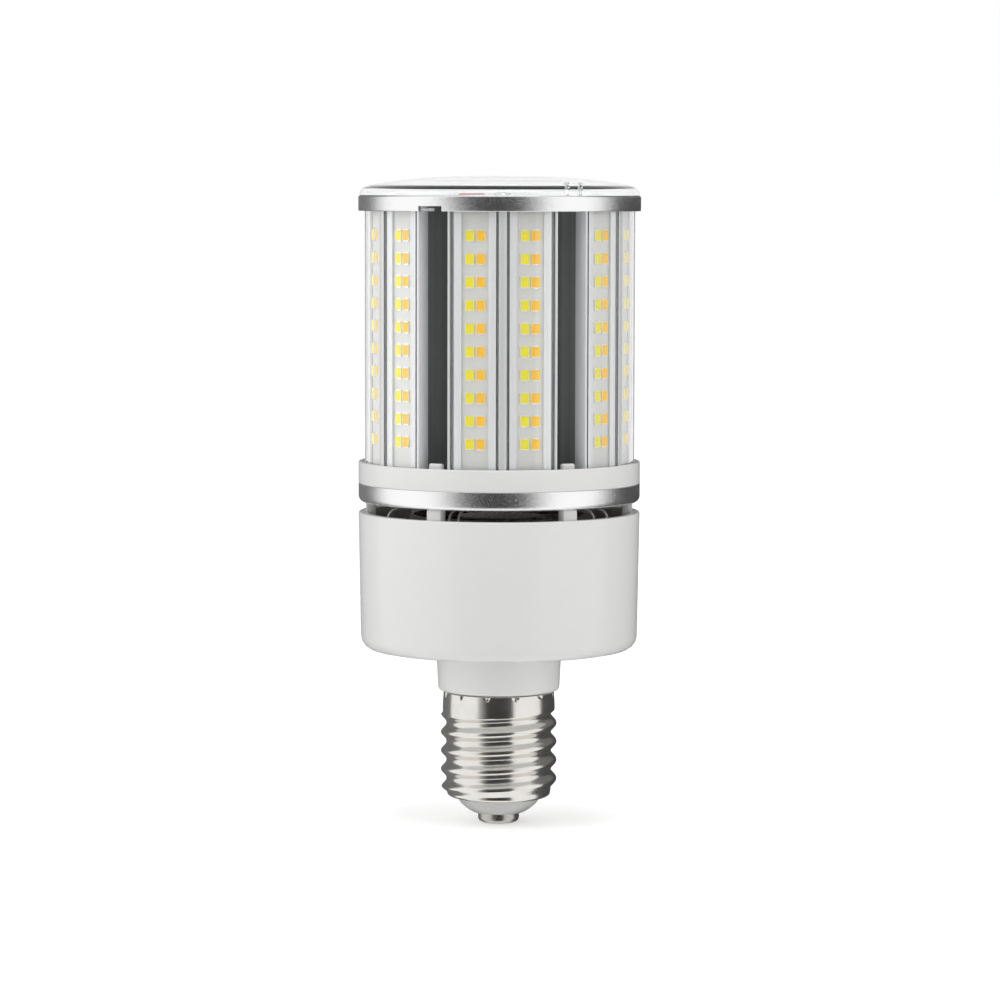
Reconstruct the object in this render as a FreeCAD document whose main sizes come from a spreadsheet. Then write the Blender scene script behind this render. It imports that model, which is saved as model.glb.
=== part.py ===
import FreeCAD
import Part
import Sketcher
import math
import os

# Corn LED lamp for a large Edison screw holder, cap down, in millimetres.
# The origin is the middle of the centre contact's lower face; +Z runs up the axis and -Y is the front.
# Heights that end in _level are measured from that face.

LENGTHS = {
    # Screw cap
    "contact_height": 3.4,
    "contact_inset": 3.2,
    "contact_bevel": 1.2,
    "insulator_slope": 4.8,
    "insulator_height": 5.4,
    "insulator_seat": 3.2,
    "cap_crest_radius": 19.7,
    "cap_rim_inset": 4.7,
    "cap_rim_rise": 3.0,
    "thread_depth": 1.8,
    "thread_height": 30.1,
    "cap_wall": 0.6,
    "collar_inset": 0.7,
    "collar_height": 6.9,
    # Housing
    "neck_height": 14.3,
    "neck_overhang": 1.5,
    "neck_taper": 0.7,
    "neck_plug_depth": 14.0,
    "neck_wall": 2.4,
    "housing_taper": 0.9,
    "housing_edge_round": 3.6,
    "housing_wall": 2.2,
    "housing_floor": 2.4,
    "post_width": 5.4,
    "post_depth": 3.6,
    "post_inset": 2.5,
    "post_root": 2.2,
    "pillar_width": 4.0,
    "pillar_inset": 0.1,
    "vent_gap": 3.4,
    # Driver
    "driver_stand": 5.5,
    "driver_play": 0.4,
    "driver_board_thickness": 1.6,
    "ledge_inset": 2.4,
    "transformer_width": 24.0,
    "transformer_depth": 20.0,
    "transformer_height": 12.6,
    "transformer_place": -9.0,
    "transformer_gap": 0.8,
    "capacitor_radius": 5.0,
    "capacitor_gap": 1.4,
    "capacitor_spacing": 12.0,
    "capacitor_place": 14.0,
    # Fan
    "tray_thickness": 2.0,
    "tray_margin": 0.5,
    "fan_corner_gap": 2.17,
    "fan_height": 15.0,
    "fan_flange": 3.0,
    "fan_lift": 5.5,
    "fan_sink": 0.9,
    "fan_rim": 1.0,
    "fan_foot_inset": 5.0,
    "fan_hub_radius": 14.0,
    "fan_hub_wall": 1.2,
    "fan_hub_lift": 0.4,
    "fan_hub_overhang": 2.0,
    "fan_blade_gap": 0.8,
    "fan_blade_thickness": 1.0,
    "fan_blade_chord": 12.0,
    "fan_blade_lift": 0.6,
    "fan_blade_drop": 0.8,
    "fan_strut_width": 3.0,
    "fan_shaft_radius": 1.5,
    "fan_shaft_play": 0.05,
    # Rings at the foot of the lighting column
    "ring_wall": 1.6,
    "ring_play": 0.3,
    "lower_ring_height": 6.4,
    "lower_ring_floor": 1.8,
    "lower_ring_bevel": 1.6,
    "base_ring_height": 7.3,
    "tab_width": 5.0,
    "tab_rise": 2.4,
    "tab_thickness": 2.1,
    "tab_inset": 1.9,
    "tab_overlap": 0.4,
    "tab_foot_height": 4.6,
    # Heat sink profile, across one flat panel
    "column_height": 98.8,
    "rib_half_width": 1.25,
    "rib_rise": 0.8,
    "channel_depth": 2.6,
    "channel_play": 0.1,
    "channel_wall": 1.0,
    "flange_thickness": 0.8,
    "flange_cover": 1.55,
    "groove_width": 1.1,
    "groove_depth": 1.4,
    "groove_foot": 0.115,
    "lip_width": 0.91,
    "lip_drop": 0.25,
    "back_wall": 1.8,
    "side_wall": 1.4,
    "side_wall_depth": 6.5,
    "fin_thickness": 1.3,
    "fin_length": 18.4,
    "boss_half_width": 2.9,
    "boss_inset": 3.7,
    "port_half_width": 1.1,
    "port_depth": 4.6,
    # Lighting boards and their covers
    "board_width": 12.0,
    "board_thickness": 1.0,
    "board_foot_gap": 4.2,
    "led_width": 2.8,
    "led_height": 3.5,
    "led_rise": 0.7,
    "led_column_spacing": 3.66,
    "led_foot_margin": 11.6,
    "led_head_margin": 10.08,
    "cover_foot_gap": 2.1,
    "cover_side_play": 0.25,
    "cover_leg": 0.7,
    "cover_play": 0.15,
    "cover_side_height": 0.5,
    "cover_curve_radius": 36.7,
    "cover_leg_depth": 1.1,
    # Top ring, top board and dome
    "top_ring_skirt": 2.5,
    "top_ring_rise": 2.6,
    "top_flange_width": 17.7,
    "top_flange_thickness": 1.2,
    "top_land_width": 5.5,
    "notch_width": 7.5,
    "notch_height": 1.6,
    "top_board_play": 0.3,
    "top_board_thickness": 1.0,
    "top_led_inset": 15.9,
    "dome_inset": 0.3,
    "dome_side_height": 1.2,
    "dome_corner": 2.6,
    "dome_slope_width": 33.7,
    "dome_rise": 6.8,
    "dome_wall": 1.6,
    "clip_width": 6.7,
    "clip_depth": 1.6,
    "clip_inset": 0.8,
    "clearance": 0.1,
}

ANGLES = {
    "column_turn": 1.4,
    "panel_angle": 11.8,
    "slot_angle": 30.0,
    "fin_near": 7.0,
    "fin_far": 14.5,
    "strut_turn": 15.0,
}

SEGMENTS = 6
LED_ROWS = 10
TOP_LEDS = 12
FAN_BLADES = 7
FAN_STRUTS = 3
CLIPS = 3

document = FreeCAD.newDocument("corn_led_lamp")
sheet = document.addObject("Spreadsheet::Sheet", "Sizes")
for row, (alias, number) in enumerate(LENGTHS.items(), start=1):
    sheet.set("A%d" % row, alias)
    sheet.set("B%d" % row, str(number))
    sheet.setAlias("B%d" % row, alias)
document.recompute()


class Size:
    """A length that carries its number and the formula that gives it from the sheet's names."""

    def __init__(self, number, formula):
        self.number = number
        self.formula = formula

    def __add__(self, other):
        other = as_size(other)
        return Size(self.number + other.number, "(%s + %s)" % (self.formula, other.formula))

    def __sub__(self, other):
        other = as_size(other)
        return Size(self.number - other.number, "(%s - %s)" % (self.formula, other.formula))

    def __mul__(self, other):
        other = as_size(other)
        return Size(self.number * other.number, "(%s * %s)" % (self.formula, other.formula))

    def __truediv__(self, other):
        other = as_size(other)
        return Size(self.number / other.number, "(%s / %s)" % (self.formula, other.formula))

    def __neg__(self):
        return self * -1

    def __rsub__(self, other):
        return as_size(other) - self

    def __radd__(self, other):
        return as_size(other) + self

    def __rmul__(self, other):
        return self * other


def as_size(value):
    if isinstance(value, Size):
        return value
    return Size(float(value), "%.9f" % value)


def named(alias):
    return Size(float(sheet.get(alias)), "Sizes." + alias)


L = {alias: named(alias) for alias in LENGTHS}
ZERO = as_size(0)
OVERSHOOT = as_size(1)
nodes = []


def keep(item, label):
    """Name a finished piece and list it as one of the lamp's sub-parts."""
    item.Label = label
    nodes.append(item)
    return item


# Profiles and the solids made from them

def new_body(name):
    return document.addObject("PartDesign::Body", name)


def origin_plane(body, role):
    return next(item for item in body.Origin.OriginFeatures if item.Role == role)


def new_sketch(body, name, role, offset=None, turn=0):
    """A sketch on one of the body's own planes, moved off it by a size and turned in it."""
    sketch = body.newObject("Sketcher::SketchObject", name)
    sketch.AttachmentSupport = (origin_plane(body, role), [""])
    sketch.MapMode = "FlatFace"
    sketch.AttachmentOffset = turned_to(turn)
    if offset is not None:
        sketch.setExpression("AttachmentOffset.Base.z", offset.formula)
    return sketch


def hold(sketch, kind, edge, end, size):
    """Fix one coordinate of a corner; a corner on an axis stays on that axis."""
    if size.number == 0 and size.formula == ZERO.formula:
        axis = -2 if kind == "DistanceX" else -1
        sketch.addConstraint(Sketcher.Constraint("PointOnObject", edge, end, axis))
        return
    index = sketch.addConstraint(Sketcher.Constraint(kind, -1, 1, edge, end, size.number))
    sketch.setExpression("Constraints[%d]" % index, size.formula)


def arc_between(start, end, radius):
    """The shorter arc from start to end that bulges to the right of the way between them."""
    middle = (start + end) * 0.5
    along = end - start
    half = along.Length / 2
    across = FreeCAD.Vector(along.y, -along.x, 0).normalize()
    centre = middle - across * math.sqrt(radius * radius - half * half)
    top = centre + across * radius
    return Part.ArcOfCircle(start, top, end)


def outline(sketch, corners, arcs=None):
    """A closed outline with each corner at its own two sizes; arcs maps a run's number to its radius."""
    arcs = arcs or {}
    places = [FreeCAD.Vector(x.number, y.number, 0) for x, y in corners]
    first = sketch.GeometryCount
    starts = []
    for run, start in enumerate(places):
        end = places[(run + 1) % len(places)]
        if run in arcs:
            edge = sketch.addGeometry(arc_between(start, end, arcs[run].number))
            begin = sketch.getPoint(edge, 1)
            starts.append((edge, 1, 2) if begin.distanceToPoint(start) < 1e-6 else (edge, 2, 1))
        else:
            edge = sketch.addGeometry(Part.LineSegment(start, end))
            starts.append((edge, 1, 2))
    for run, (edge, begin, finish) in enumerate(starts):
        following = starts[(run + 1) % len(starts)]
        sketch.addConstraint(Sketcher.Constraint("Coincident", edge, finish, following[0], following[1]))
    for run, (x, y) in enumerate(corners):
        edge, begin, finish = starts[run]
        hold(sketch, "DistanceX", edge, begin, x)
        hold(sketch, "DistanceY", edge, begin, y)
    for run, radius in arcs.items():
        index = sketch.addConstraint(Sketcher.Constraint("Radius", first + run, radius.number))
        sketch.setExpression("Constraints[%d]" % index, radius.formula)


def rectangle(sketch, low_x, high_x, low_y, high_y):
    outline(sketch, [(low_x, low_y), (high_x, low_y), (high_x, high_y), (low_x, high_y)])


def square(sketch, x, y, width):
    """A square of one width about a point."""
    half = width / 2
    rectangle(sketch, x - half, x + half, y - half, y + half)


def circle(sketch, x, y, radius):
    centre = FreeCAD.Vector(x.number, y.number, 0)
    edge = sketch.addGeometry(Part.Circle(centre, FreeCAD.Vector(0, 0, 1), radius.number))
    hold(sketch, "DistanceX", edge, 3, x)
    hold(sketch, "DistanceY", edge, 3, y)
    index = sketch.addConstraint(Sketcher.Constraint("Radius", edge, radius.number))
    sketch.setExpression("Constraints[%d]" % index, radius.formula)


def revolve(body, name, corners, arcs=None):
    """A full turn about the lamp's axis of an outline given as radius and level."""
    sketch = new_sketch(body, name + "_outline", "XZ_Plane")
    outline(sketch, corners, arcs)
    turned = body.newObject("PartDesign::Revolution", name)
    turned.Profile = sketch
    turned.ReferenceAxis = (sketch, ["V_Axis"])
    turned.Angle = 360
    document.recompute()
    return turned


def pad(body, name, sketch, length, backwards=False):
    item = body.newObject("PartDesign::Pad", name)
    item.Profile = sketch
    item.Length = length.number
    item.setExpression("Length", length.formula)
    item.Reversed = backwards
    document.recompute()
    return item


def pocket(body, name, sketch, length, backwards=False):
    """A cut that has to take material away."""
    before = body.Shape.Volume
    item = body.newObject("PartDesign::Pocket", name)
    item.Profile = sketch
    item.Length = length.number
    item.setExpression("Length", length.formula)
    item.Reversed = backwards
    document.recompute()
    if item.Shape.Volume >= before:
        raise RuntimeError(name + " cuts nothing")
    return item


def around_axis(body, name, feature, count):
    item = body.newObject("PartDesign::PolarPattern", name)
    item.Originals = [feature]
    item.Axis = (next(part for part in body.Origin.OriginFeatures if part.Role == "Z_Axis"), [""])
    item.Angle = 360
    item.Occurrences = count
    body.Tip = item
    document.recompute()
    return item


def turned_to(angle):
    """A turn about the lamp's axis; 0 faces the front and positive goes to the right."""
    return FreeCAD.Placement(FreeCAD.Vector(0, 0, 0), FreeCAD.Rotation(FreeCAD.Vector(0, 0, 1), angle))


def block(name, x, y, z, length, width, height):
    """A box with its low corner at x, y, z."""
    item = document.addObject("Part::Box", name)
    for key, size in (("Length", length), ("Width", width), ("Height", height)):
        setattr(item, key, size.number)
        item.setExpression(key, size.formula)
    place(item, x, y, z)
    return item


def rod(name, x, y, z, radius, height):
    item = document.addObject("Part::Cylinder", name)
    for key, size in (("Radius", radius), ("Height", height)):
        setattr(item, key, size.number)
        item.setExpression(key, size.formula)
    place(item, x, y, z)
    return item


def place(item, x, y, z):
    item.Placement.Base = FreeCAD.Vector(x.number, y.number, z.number)
    item.setExpression("Placement.Base.x", x.formula)
    item.setExpression("Placement.Base.y", y.formula)
    item.setExpression("Placement.Base.z", z.formula)


def joined(name, items):
    item = document.addObject("Part::MultiFuse", name)
    item.Shapes = items
    return item


def cut(name, base, tool):
    item = document.addObject("Part::Cut", name)
    item.Base = base
    item.Tool = tool
    return item


def sine(angle):
    return math.sin(math.radians(angle))


def cosine(angle):
    return math.cos(math.radians(angle))


# Across one panel, from its middle line outwards
BOARD_EDGE = L["board_width"] / 2
FLANGE_EDGE = BOARD_EDGE - L["flange_cover"]
GROOVE_INNER = BOARD_EDGE + L["channel_wall"]
GROOVE_OUTER = GROOVE_INNER + L["groove_width"]
COVER_EDGE = GROOVE_OUTER - L["cover_side_play"]

# The panels' width sets how far out they stand, and with it every radius of the lamp's body
PANEL = ANGLES["panel_angle"]
SLOT = ANGLES["slot_angle"]
LIP_DISTANCE = (L["rib_half_width"] + GROOVE_OUTER * cosine(PANEL)) / sine(PANEL) + L["groove_foot"]
SLOT_HALF = LIP_DISTANCE * sine(SLOT - PANEL) - GROOVE_OUTER * cosine(SLOT - PANEL) - L["lip_width"]
CHANNEL_FLOOR = LIP_DISTANCE - L["channel_depth"]
FLANGE_FACE = CHANNEL_FLOOR + L["board_thickness"] + L["channel_play"] + L["flange_thickness"]
COLUMN_RADIUS = LIP_DISTANCE + L["rib_rise"]
RING_BORE = COLUMN_RADIUS + L["ring_play"]
BODY_RADIUS = RING_BORE + L["ring_wall"]
BOSS_PLACE = CHANNEL_FLOOR - L["boss_inset"]
TOP_LAND = BODY_RADIUS - L["top_land_width"]
TOP_BOARD_RADIUS = TOP_LAND - L["top_board_play"]

# Radii of the cap and its neck, from the thread's crest inwards and outwards
CAP_CREST = L["cap_crest_radius"]
CAP_RIM_RADIUS = CAP_CREST - L["cap_rim_inset"]
CAP_BORE = CAP_CREST - L["thread_depth"] - L["cap_wall"]
COLLAR_RADIUS = CAP_CREST - L["collar_inset"]
INSULATOR_FOOT_RADIUS = CAP_RIM_RADIUS - L["insulator_slope"]
CONTACT_RADIUS = INSULATOR_FOOT_RADIUS - L["contact_inset"]
NECK_TOP_RADIUS = CAP_CREST + L["neck_overhang"]
NECK_PLUG = CAP_BORE - L["clearance"]
NECK_BORE = NECK_PLUG - L["neck_wall"]

# What stands inside the housing, from its wall inwards
HOUSING_FOOT_RADIUS = BODY_RADIUS - L["housing_taper"]
HOUSING_BORE = HOUSING_FOOT_RADIUS - L["housing_wall"]
FAN_HALF = (HOUSING_BORE - L["fan_corner_gap"]) / math.sqrt(2)
FAN_BORE = FAN_HALF - L["fan_rim"]
TRAY_HALF = FAN_HALF + L["tray_margin"]
PILLAR_PLACE = TRAY_HALF - L["pillar_width"] / 2 - L["pillar_inset"]
DRIVER_HALF = PILLAR_PLACE - L["pillar_width"] / 2 - L["driver_play"]
LEDGE_PLACE = DRIVER_HALF - L["ledge_inset"]

# Levels, from the contact's face up
CAP_RIM = L["contact_height"] + L["insulator_height"]
CAP_COLLAR = CAP_RIM + L["thread_height"]
CAP_TOP = CAP_COLLAR + L["collar_height"]
HOUSING_FLOOR = CAP_TOP + L["neck_height"]
FLOOR_TOP = HOUSING_FLOOR + L["housing_floor"]
DRIVER_FOOT = FLOOR_TOP + L["driver_stand"]
DRIVER_TOP = DRIVER_FOOT + L["driver_board_thickness"]
TRAY_FOOT = DRIVER_TOP + L["transformer_height"] + L["transformer_gap"]
TRAY_TOP = TRAY_FOOT + L["tray_thickness"]
FAN_FOOT = TRAY_TOP + L["fan_lift"]
FAN_TOP = FAN_FOOT + L["fan_height"]
HOUSING_TOP = FAN_TOP + L["fan_sink"]
LOWER_RING = HOUSING_TOP + L["vent_gap"]
COLUMN_FOOT = LOWER_RING + L["lower_ring_floor"]
BASE_RING = LOWER_RING + L["lower_ring_height"]
BOARD_FOOT = BASE_RING + L["board_foot_gap"]
COLUMN_TOP = COLUMN_FOOT + L["column_height"]
BOARD_TOP = COLUMN_TOP - L["clearance"]
FLANGE_TOP = COLUMN_TOP + L["top_flange_thickness"]
RING_TOP = COLUMN_TOP + L["top_ring_rise"]
FIRST_LED = BOARD_FOOT + L["led_foot_margin"]
LED_ROW_SPACING = (BOARD_TOP - L["led_head_margin"] - FIRST_LED) / (LED_ROWS - 1)


def centre_contact():
    """A round button with a bevelled foot."""
    body = new_body("centre_contact")
    revolve(body, "contact_button", [
        (ZERO, ZERO),
        (CONTACT_RADIUS - L["contact_bevel"], ZERO),
        (CONTACT_RADIUS, L["contact_bevel"]),
        (CONTACT_RADIUS, L["contact_height"]),
        (ZERO, L["contact_height"]),
    ])
    keep(body, "centre_contact")


def cap_insulator():
    """The bowl between the contact and the shell, held by the shell's turned-in rim."""
    body = new_body("cap_insulator")
    seat = CAP_RIM_RADIUS - L["clearance"]
    top = CAP_RIM + L["insulator_seat"]
    revolve(body, "insulator_bowl", [
        (ZERO, L["contact_height"]),
        (INSULATOR_FOOT_RADIUS, L["contact_height"]),
        (seat, CAP_RIM - L["cap_wall"]),
        (seat, top),
        (ZERO, top),
    ])
    keep(body, "cap_insulator")


def cap_shell():
    """The screw shell, as the envelope of its rolled thread, with a turned-in rim and a plain collar."""
    body = new_body("cap_shell")
    wall = L["cap_wall"]
    rim_top = CAP_RIM + wall * 4
    revolve(body, "shell_wall", [
        (CAP_RIM_RADIUS, CAP_RIM),
        (CAP_CREST, CAP_RIM + L["cap_rim_rise"]),
        (CAP_CREST, CAP_COLLAR),
        (COLLAR_RADIUS, CAP_COLLAR + wall * 1.5),
        (COLLAR_RADIUS, CAP_TOP),
        (CAP_BORE, CAP_TOP),
        (CAP_BORE, rim_top),
        (CAP_RIM_RADIUS, rim_top),
    ])
    keep(body, "cap_shell")


def housing():
    """The white driver housing: an open cup, a neck that plugs into the cap, and six vent posts."""
    body = new_body("housing")
    bend = L["housing_edge_round"]
    revolve(body, "housing_cup", [
        (BODY_RADIUS, HOUSING_TOP),
        (HOUSING_FOOT_RADIUS, HOUSING_FLOOR + bend),
        (HOUSING_FOOT_RADIUS - bend, HOUSING_FLOOR),
        (NECK_TOP_RADIUS, HOUSING_FLOOR),
        (NECK_TOP_RADIUS - L["neck_taper"], CAP_TOP),
        (NECK_PLUG, CAP_TOP),
        (NECK_PLUG, CAP_TOP - L["neck_plug_depth"]),
        (NECK_BORE, CAP_TOP - L["neck_plug_depth"]),
        (NECK_BORE, FLOOR_TOP),
        (HOUSING_BORE, FLOOR_TOP),
        (HOUSING_BORE, HOUSING_TOP),
    ])
    post_turn = ANGLES["column_turn"] + SLOT
    sketch = new_sketch(body, "post_outline", "XY_Plane", HOUSING_TOP - L["post_root"], post_turn)
    outer = BODY_RADIUS - L["post_inset"]
    half = L["post_width"] / 2
    rectangle(sketch, -half, half, -outer, L["post_depth"] - outer)
    post = pad(body, "vent_post", sketch, L["vent_gap"] + L["post_root"])
    around_axis(body, "vent_posts", post, SEGMENTS)
    sketch = new_sketch(body, "pillar_outline", "XY_Plane", FLOOR_TOP)
    square(sketch, PILLAR_PLACE, PILLAR_PLACE, L["pillar_width"])
    pillar = pad(body, "tray_pillar", sketch, TRAY_FOOT - FLOOR_TOP)
    around_axis(body, "tray_pillars", pillar, 4)
    sketch = new_sketch(body, "ledge_outline", "XY_Plane", FLOOR_TOP)
    square(sketch, LEDGE_PLACE, LEDGE_PLACE, L["pillar_width"])
    ledge = pad(body, "driver_ledge", sketch, L["driver_stand"])
    around_axis(body, "driver_ledges", ledge, 4)
    keep(body, "housing")


def driver():
    """The power supply: a square board with its transformer and storage capacitors."""
    side = DRIVER_HALF * 2
    board = block("driver_board_plate", -DRIVER_HALF, -DRIVER_HALF, DRIVER_FOOT, side, side,
                  L["driver_board_thickness"])
    keep(board, "driver_board")
    width = L["transformer_width"]
    depth = L["transformer_depth"]
    height = L["transformer_height"]
    back = L["transformer_place"]
    front = back - depth / 2
    core = block("transformer_core", -width / 2, back - depth / 4, DRIVER_TOP + height * 0.15,
                 width, depth / 2, height * 0.85)
    coil = block("transformer_coil", -width * 0.32, front, DRIVER_TOP + height * 0.25,
                 width * 0.64, depth, height * 0.6)
    foot = block("transformer_foot", -width * 0.42, front, DRIVER_TOP, width * 0.84, depth, height * 0.25)
    keep(joined("transformer_block", [core, coil, foot]), "transformer")
    cans = []
    for side in (-1, 1):
        x = L["capacitor_spacing"] / 2 * side
        cans.append(rod("capacitor_can", x, L["capacitor_place"], DRIVER_TOP, L["capacitor_radius"],
                        TRAY_FOOT - L["capacitor_gap"] - DRIVER_TOP))
    group = document.addObject("Part::Compound", "capacitor_pair")
    group.Links = cans
    keep(group, "storage_capacitors")


def fan_tray():
    """The square plate on the housing's pillars, with four feet that hold the fan clear of it."""
    body = new_body("fan_tray")
    sketch = new_sketch(body, "tray_outline", "XY_Plane", TRAY_FOOT)
    rectangle(sketch, -TRAY_HALF, TRAY_HALF, -TRAY_HALF, TRAY_HALF)
    pad(body, "tray_plate", sketch, L["tray_thickness"])
    sketch = new_sketch(body, "foot_outline", "XY_Plane", TRAY_TOP)
    corner = FAN_HALF - L["fan_foot_inset"]
    square(sketch, corner, corner, L["pillar_width"])
    foot = pad(body, "fan_foot", sketch, L["fan_lift"])
    around_axis(body, "fan_feet", foot, 4)
    keep(body, "fan_tray")


def fan_frame():
    """A square axial fan frame: a round duct through it, three struts and the bearing's hub."""
    size = FAN_HALF * 2
    base = L["fan_flange"]
    shell = block("fan_case", -FAN_HALF, -FAN_HALF, FAN_FOOT, size, size, L["fan_height"])
    bore = rod("fan_bore", ZERO, ZERO, FAN_FOOT - OVERSHOOT, FAN_BORE, L["fan_height"] + OVERSHOOT * 2)
    duct = cut("fan_duct", shell, bore)
    seat = rod("fan_bearing", ZERO, ZERO, FAN_FOOT, L["fan_hub_radius"] - L["fan_hub_overhang"], base)
    struts = []
    width = L["fan_strut_width"]
    for number in range(FAN_STRUTS):
        swing = 360 / FAN_STRUTS * number + ANGLES["strut_turn"]
        strut = block("fan_strut", -width / 2 * cosine(swing), -width / 2 * sine(swing), FAN_FOOT, width,
                      FAN_BORE + L["clearance"], base)
        strut.Placement.Rotation = FreeCAD.Rotation(FreeCAD.Vector(0, 0, 1), swing)
        struts.append(strut)
    frame = joined("fan_seat", [duct, seat] + struts)
    shaft_hole = L["fan_shaft_radius"] + L["fan_shaft_play"]
    shaft_bore = rod("fan_shaft_bore", ZERO, ZERO, FAN_FOOT - OVERSHOOT, shaft_hole,
                     L["fan_height"] + OVERSHOOT * 2)
    keep(cut("fan_frame_body", frame, shaft_bore), "fan_frame")


def blade(number):
    """One slanted, bent blade from the hub outwards."""
    low = FAN_FOOT.number + L["fan_flange"].number + L["fan_blade_lift"].number
    high = FAN_TOP.number - L["fan_blade_drop"].number
    thick = L["fan_blade_thickness"].number
    chord = L["fan_blade_chord"].number
    out = L["fan_hub_radius"].number - thick
    lower = FreeCAD.Vector(out, -chord / 2, low)
    bend = FreeCAD.Vector(out, -chord / 10, low + (high - low) * 0.62)
    upper = FreeCAD.Vector(out, chord / 2, high)
    shift = FreeCAD.Vector(0, thick, 0)
    section = Part.makePolygon([lower, bend, upper, upper + shift, bend + shift, lower + shift, lower])
    solid = Part.Face(section).extrude(FreeCAD.Vector(FAN_BORE.number - out, 0, 0))
    solid.rotate(FreeCAD.Vector(0, 0, 0), FreeCAD.Vector(0, 0, 1), 360.0 / FAN_BLADES * number)
    return solid


def fan_rotor():
    """The fan's wheel: a hub cup with seven blades, and the shaft that turns in the frame's bearing."""
    hub_foot = FAN_FOOT + L["fan_flange"] + L["fan_hub_lift"]
    hub_top = FAN_TOP - L["fan_hub_wall"] / 2
    hub = L["fan_hub_radius"].number
    wall = L["fan_hub_wall"].number
    level = FreeCAD.Vector(0, 0, hub_foot.number)
    tall = hub_top.number - hub_foot.number
    sweep = Part.makeCylinder(FAN_BORE.number - L["fan_blade_gap"].number, tall, level)
    blades = [blade(number).common(sweep) for number in range(FAN_BLADES)]
    wheel = Part.makeCylinder(hub, tall, level).fuse(blades)
    wheel = wheel.cut(Part.makeCylinder(hub - wall, tall - wall, level))
    item = document.addObject("Part::Feature", "fan_wheel")
    item.Shape = wheel.removeSplitter()
    keep(item, "fan_rotor")
    spindle = rod("fan_spindle", ZERO, ZERO, FAN_FOOT, L["fan_shaft_radius"],
                  hub_top - FAN_FOOT - L["fan_hub_wall"])
    keep(spindle, "fan_shaft")


def lower_ring():
    """The metal dish that carries the lighting column on the housing's posts."""
    body = new_body("lower_ring")
    bevel = L["lower_ring_bevel"]
    revolve(body, "dish", [
        (FAN_BORE, LOWER_RING),
        (BODY_RADIUS - bevel, LOWER_RING),
        (BODY_RADIUS, LOWER_RING + bevel),
        (BODY_RADIUS, BASE_RING),
        (RING_BORE, BASE_RING),
        (RING_BORE, COLUMN_FOOT),
        (FAN_BORE, COLUMN_FOOT),
    ])
    keep(body, "lower_ring")


def base_ring():
    """The white ring round the column's foot, with a rounded tab standing in each slot."""
    body = new_body("base_ring")
    revolve(body, "band", [
        (RING_BORE, BASE_RING),
        (BODY_RADIUS, BASE_RING),
        (BODY_RADIUS, BASE_RING + L["base_ring_height"]),
        (RING_BORE, BASE_RING + L["base_ring_height"]),
    ])
    half = L["tab_width"] / 2
    tab_back = RING_BORE - L["tab_inset"] - L["tab_thickness"]
    sketch = new_sketch(body, "tab_outline", "XZ_Plane", tab_back)
    shoulder = BASE_RING + L["base_ring_height"] + L["tab_rise"]
    bend = half * 0.35
    outline(sketch, [
        (-half, BASE_RING),
        (half, BASE_RING),
        (half, shoulder - bend),
        (half - bend, shoulder),
        (bend - half, shoulder),
        (-half, shoulder - bend),
    ])
    tab = pad(body, "tab", sketch, L["tab_thickness"])
    around_axis(body, "tabs", tab, SEGMENTS)
    sketch = new_sketch(body, "foot_outline", "XY_Plane", BASE_RING)
    rectangle(sketch, -half, half, -(RING_BORE + L["tab_overlap"]), -tab_back)
    foot = pad(body, "tab_foot", sketch, L["tab_foot_height"])
    around_axis(body, "tab_feet", foot, SEGMENTS)
    body.Placement = turned_to(ANGLES["column_turn"] + SLOT)
    keep(body, "base_ring")


# Points across the heat sink's profile

def on_line(angle, across, out):
    """A point a distance out along a direction and a distance across it, both from the lamp's axis."""
    return (across * cosine(angle) + out * sine(angle), across * sine(angle) - out * cosine(angle))


def reach_back(angle, across):
    """How far out a line parallel to a direction meets the back wall of the right panel."""
    lean = math.radians(angle - PANEL)
    back = CHANNEL_FLOOR - L["back_wall"]
    return (back + across * math.sin(lean)) / math.cos(lean)


def half_profile():
    """The right half of a heat sink: rib, board channel, cover grooves, slot wall, fins and screw port."""
    floor = CHANNEL_FLOOR
    under = FLANGE_FACE - L["flange_thickness"]
    top = FLANGE_FACE
    pit = top - L["groove_depth"]
    channel = BOARD_EDGE + L["channel_play"]
    edge = FLANGE_EDGE
    inner = GROOVE_INNER
    outer = GROOVE_OUTER
    slot_face = -SLOT_HALF
    slot_back = slot_face - L["side_wall"]
    lip_out = COLUMN_RADIUS - L["lip_drop"]
    wall_foot = lip_out - L["side_wall_depth"]
    points = [(L["rib_half_width"], -COLUMN_RADIUS)]
    across_out = [
        (-outer, pit), (-inner, pit), (-inner, top), (-edge, top), (-edge, under), (-channel, under),
        (-channel, floor), (channel, floor), (channel, under), (edge, under), (edge, top), (inner, top),
        (inner, pit), (outer, pit), (outer, LIP_DISTANCE),
    ]
    points += [on_line(PANEL, across, out) for across, out in across_out]
    points += [
        on_line(SLOT, slot_face, lip_out),
        on_line(SLOT, slot_face, wall_foot),
        on_line(SLOT, slot_back, wall_foot),
        on_line(SLOT, slot_back, reach_back(SLOT, slot_back)),
    ]
    half = L["fin_thickness"] / 2
    tip = CHANNEL_FLOOR - L["fin_length"]
    for angle in (ANGLES["fin_far"], ANGLES["fin_near"]):
        points += [
            on_line(angle, half, reach_back(angle, half)),
            on_line(angle, half, tip),
            on_line(angle, -half, tip),
            on_line(angle, -half, reach_back(angle, -half)),
        ]
    boss = L["boss_half_width"]
    port = L["port_half_width"]
    points += [
        on_line(0, boss, reach_back(0, boss)),
        on_line(0, boss, BOSS_PLACE - boss),
        on_line(0, port, BOSS_PLACE - boss),
        on_line(0, port, BOSS_PLACE - boss + L["port_depth"]),
    ]
    return points


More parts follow.
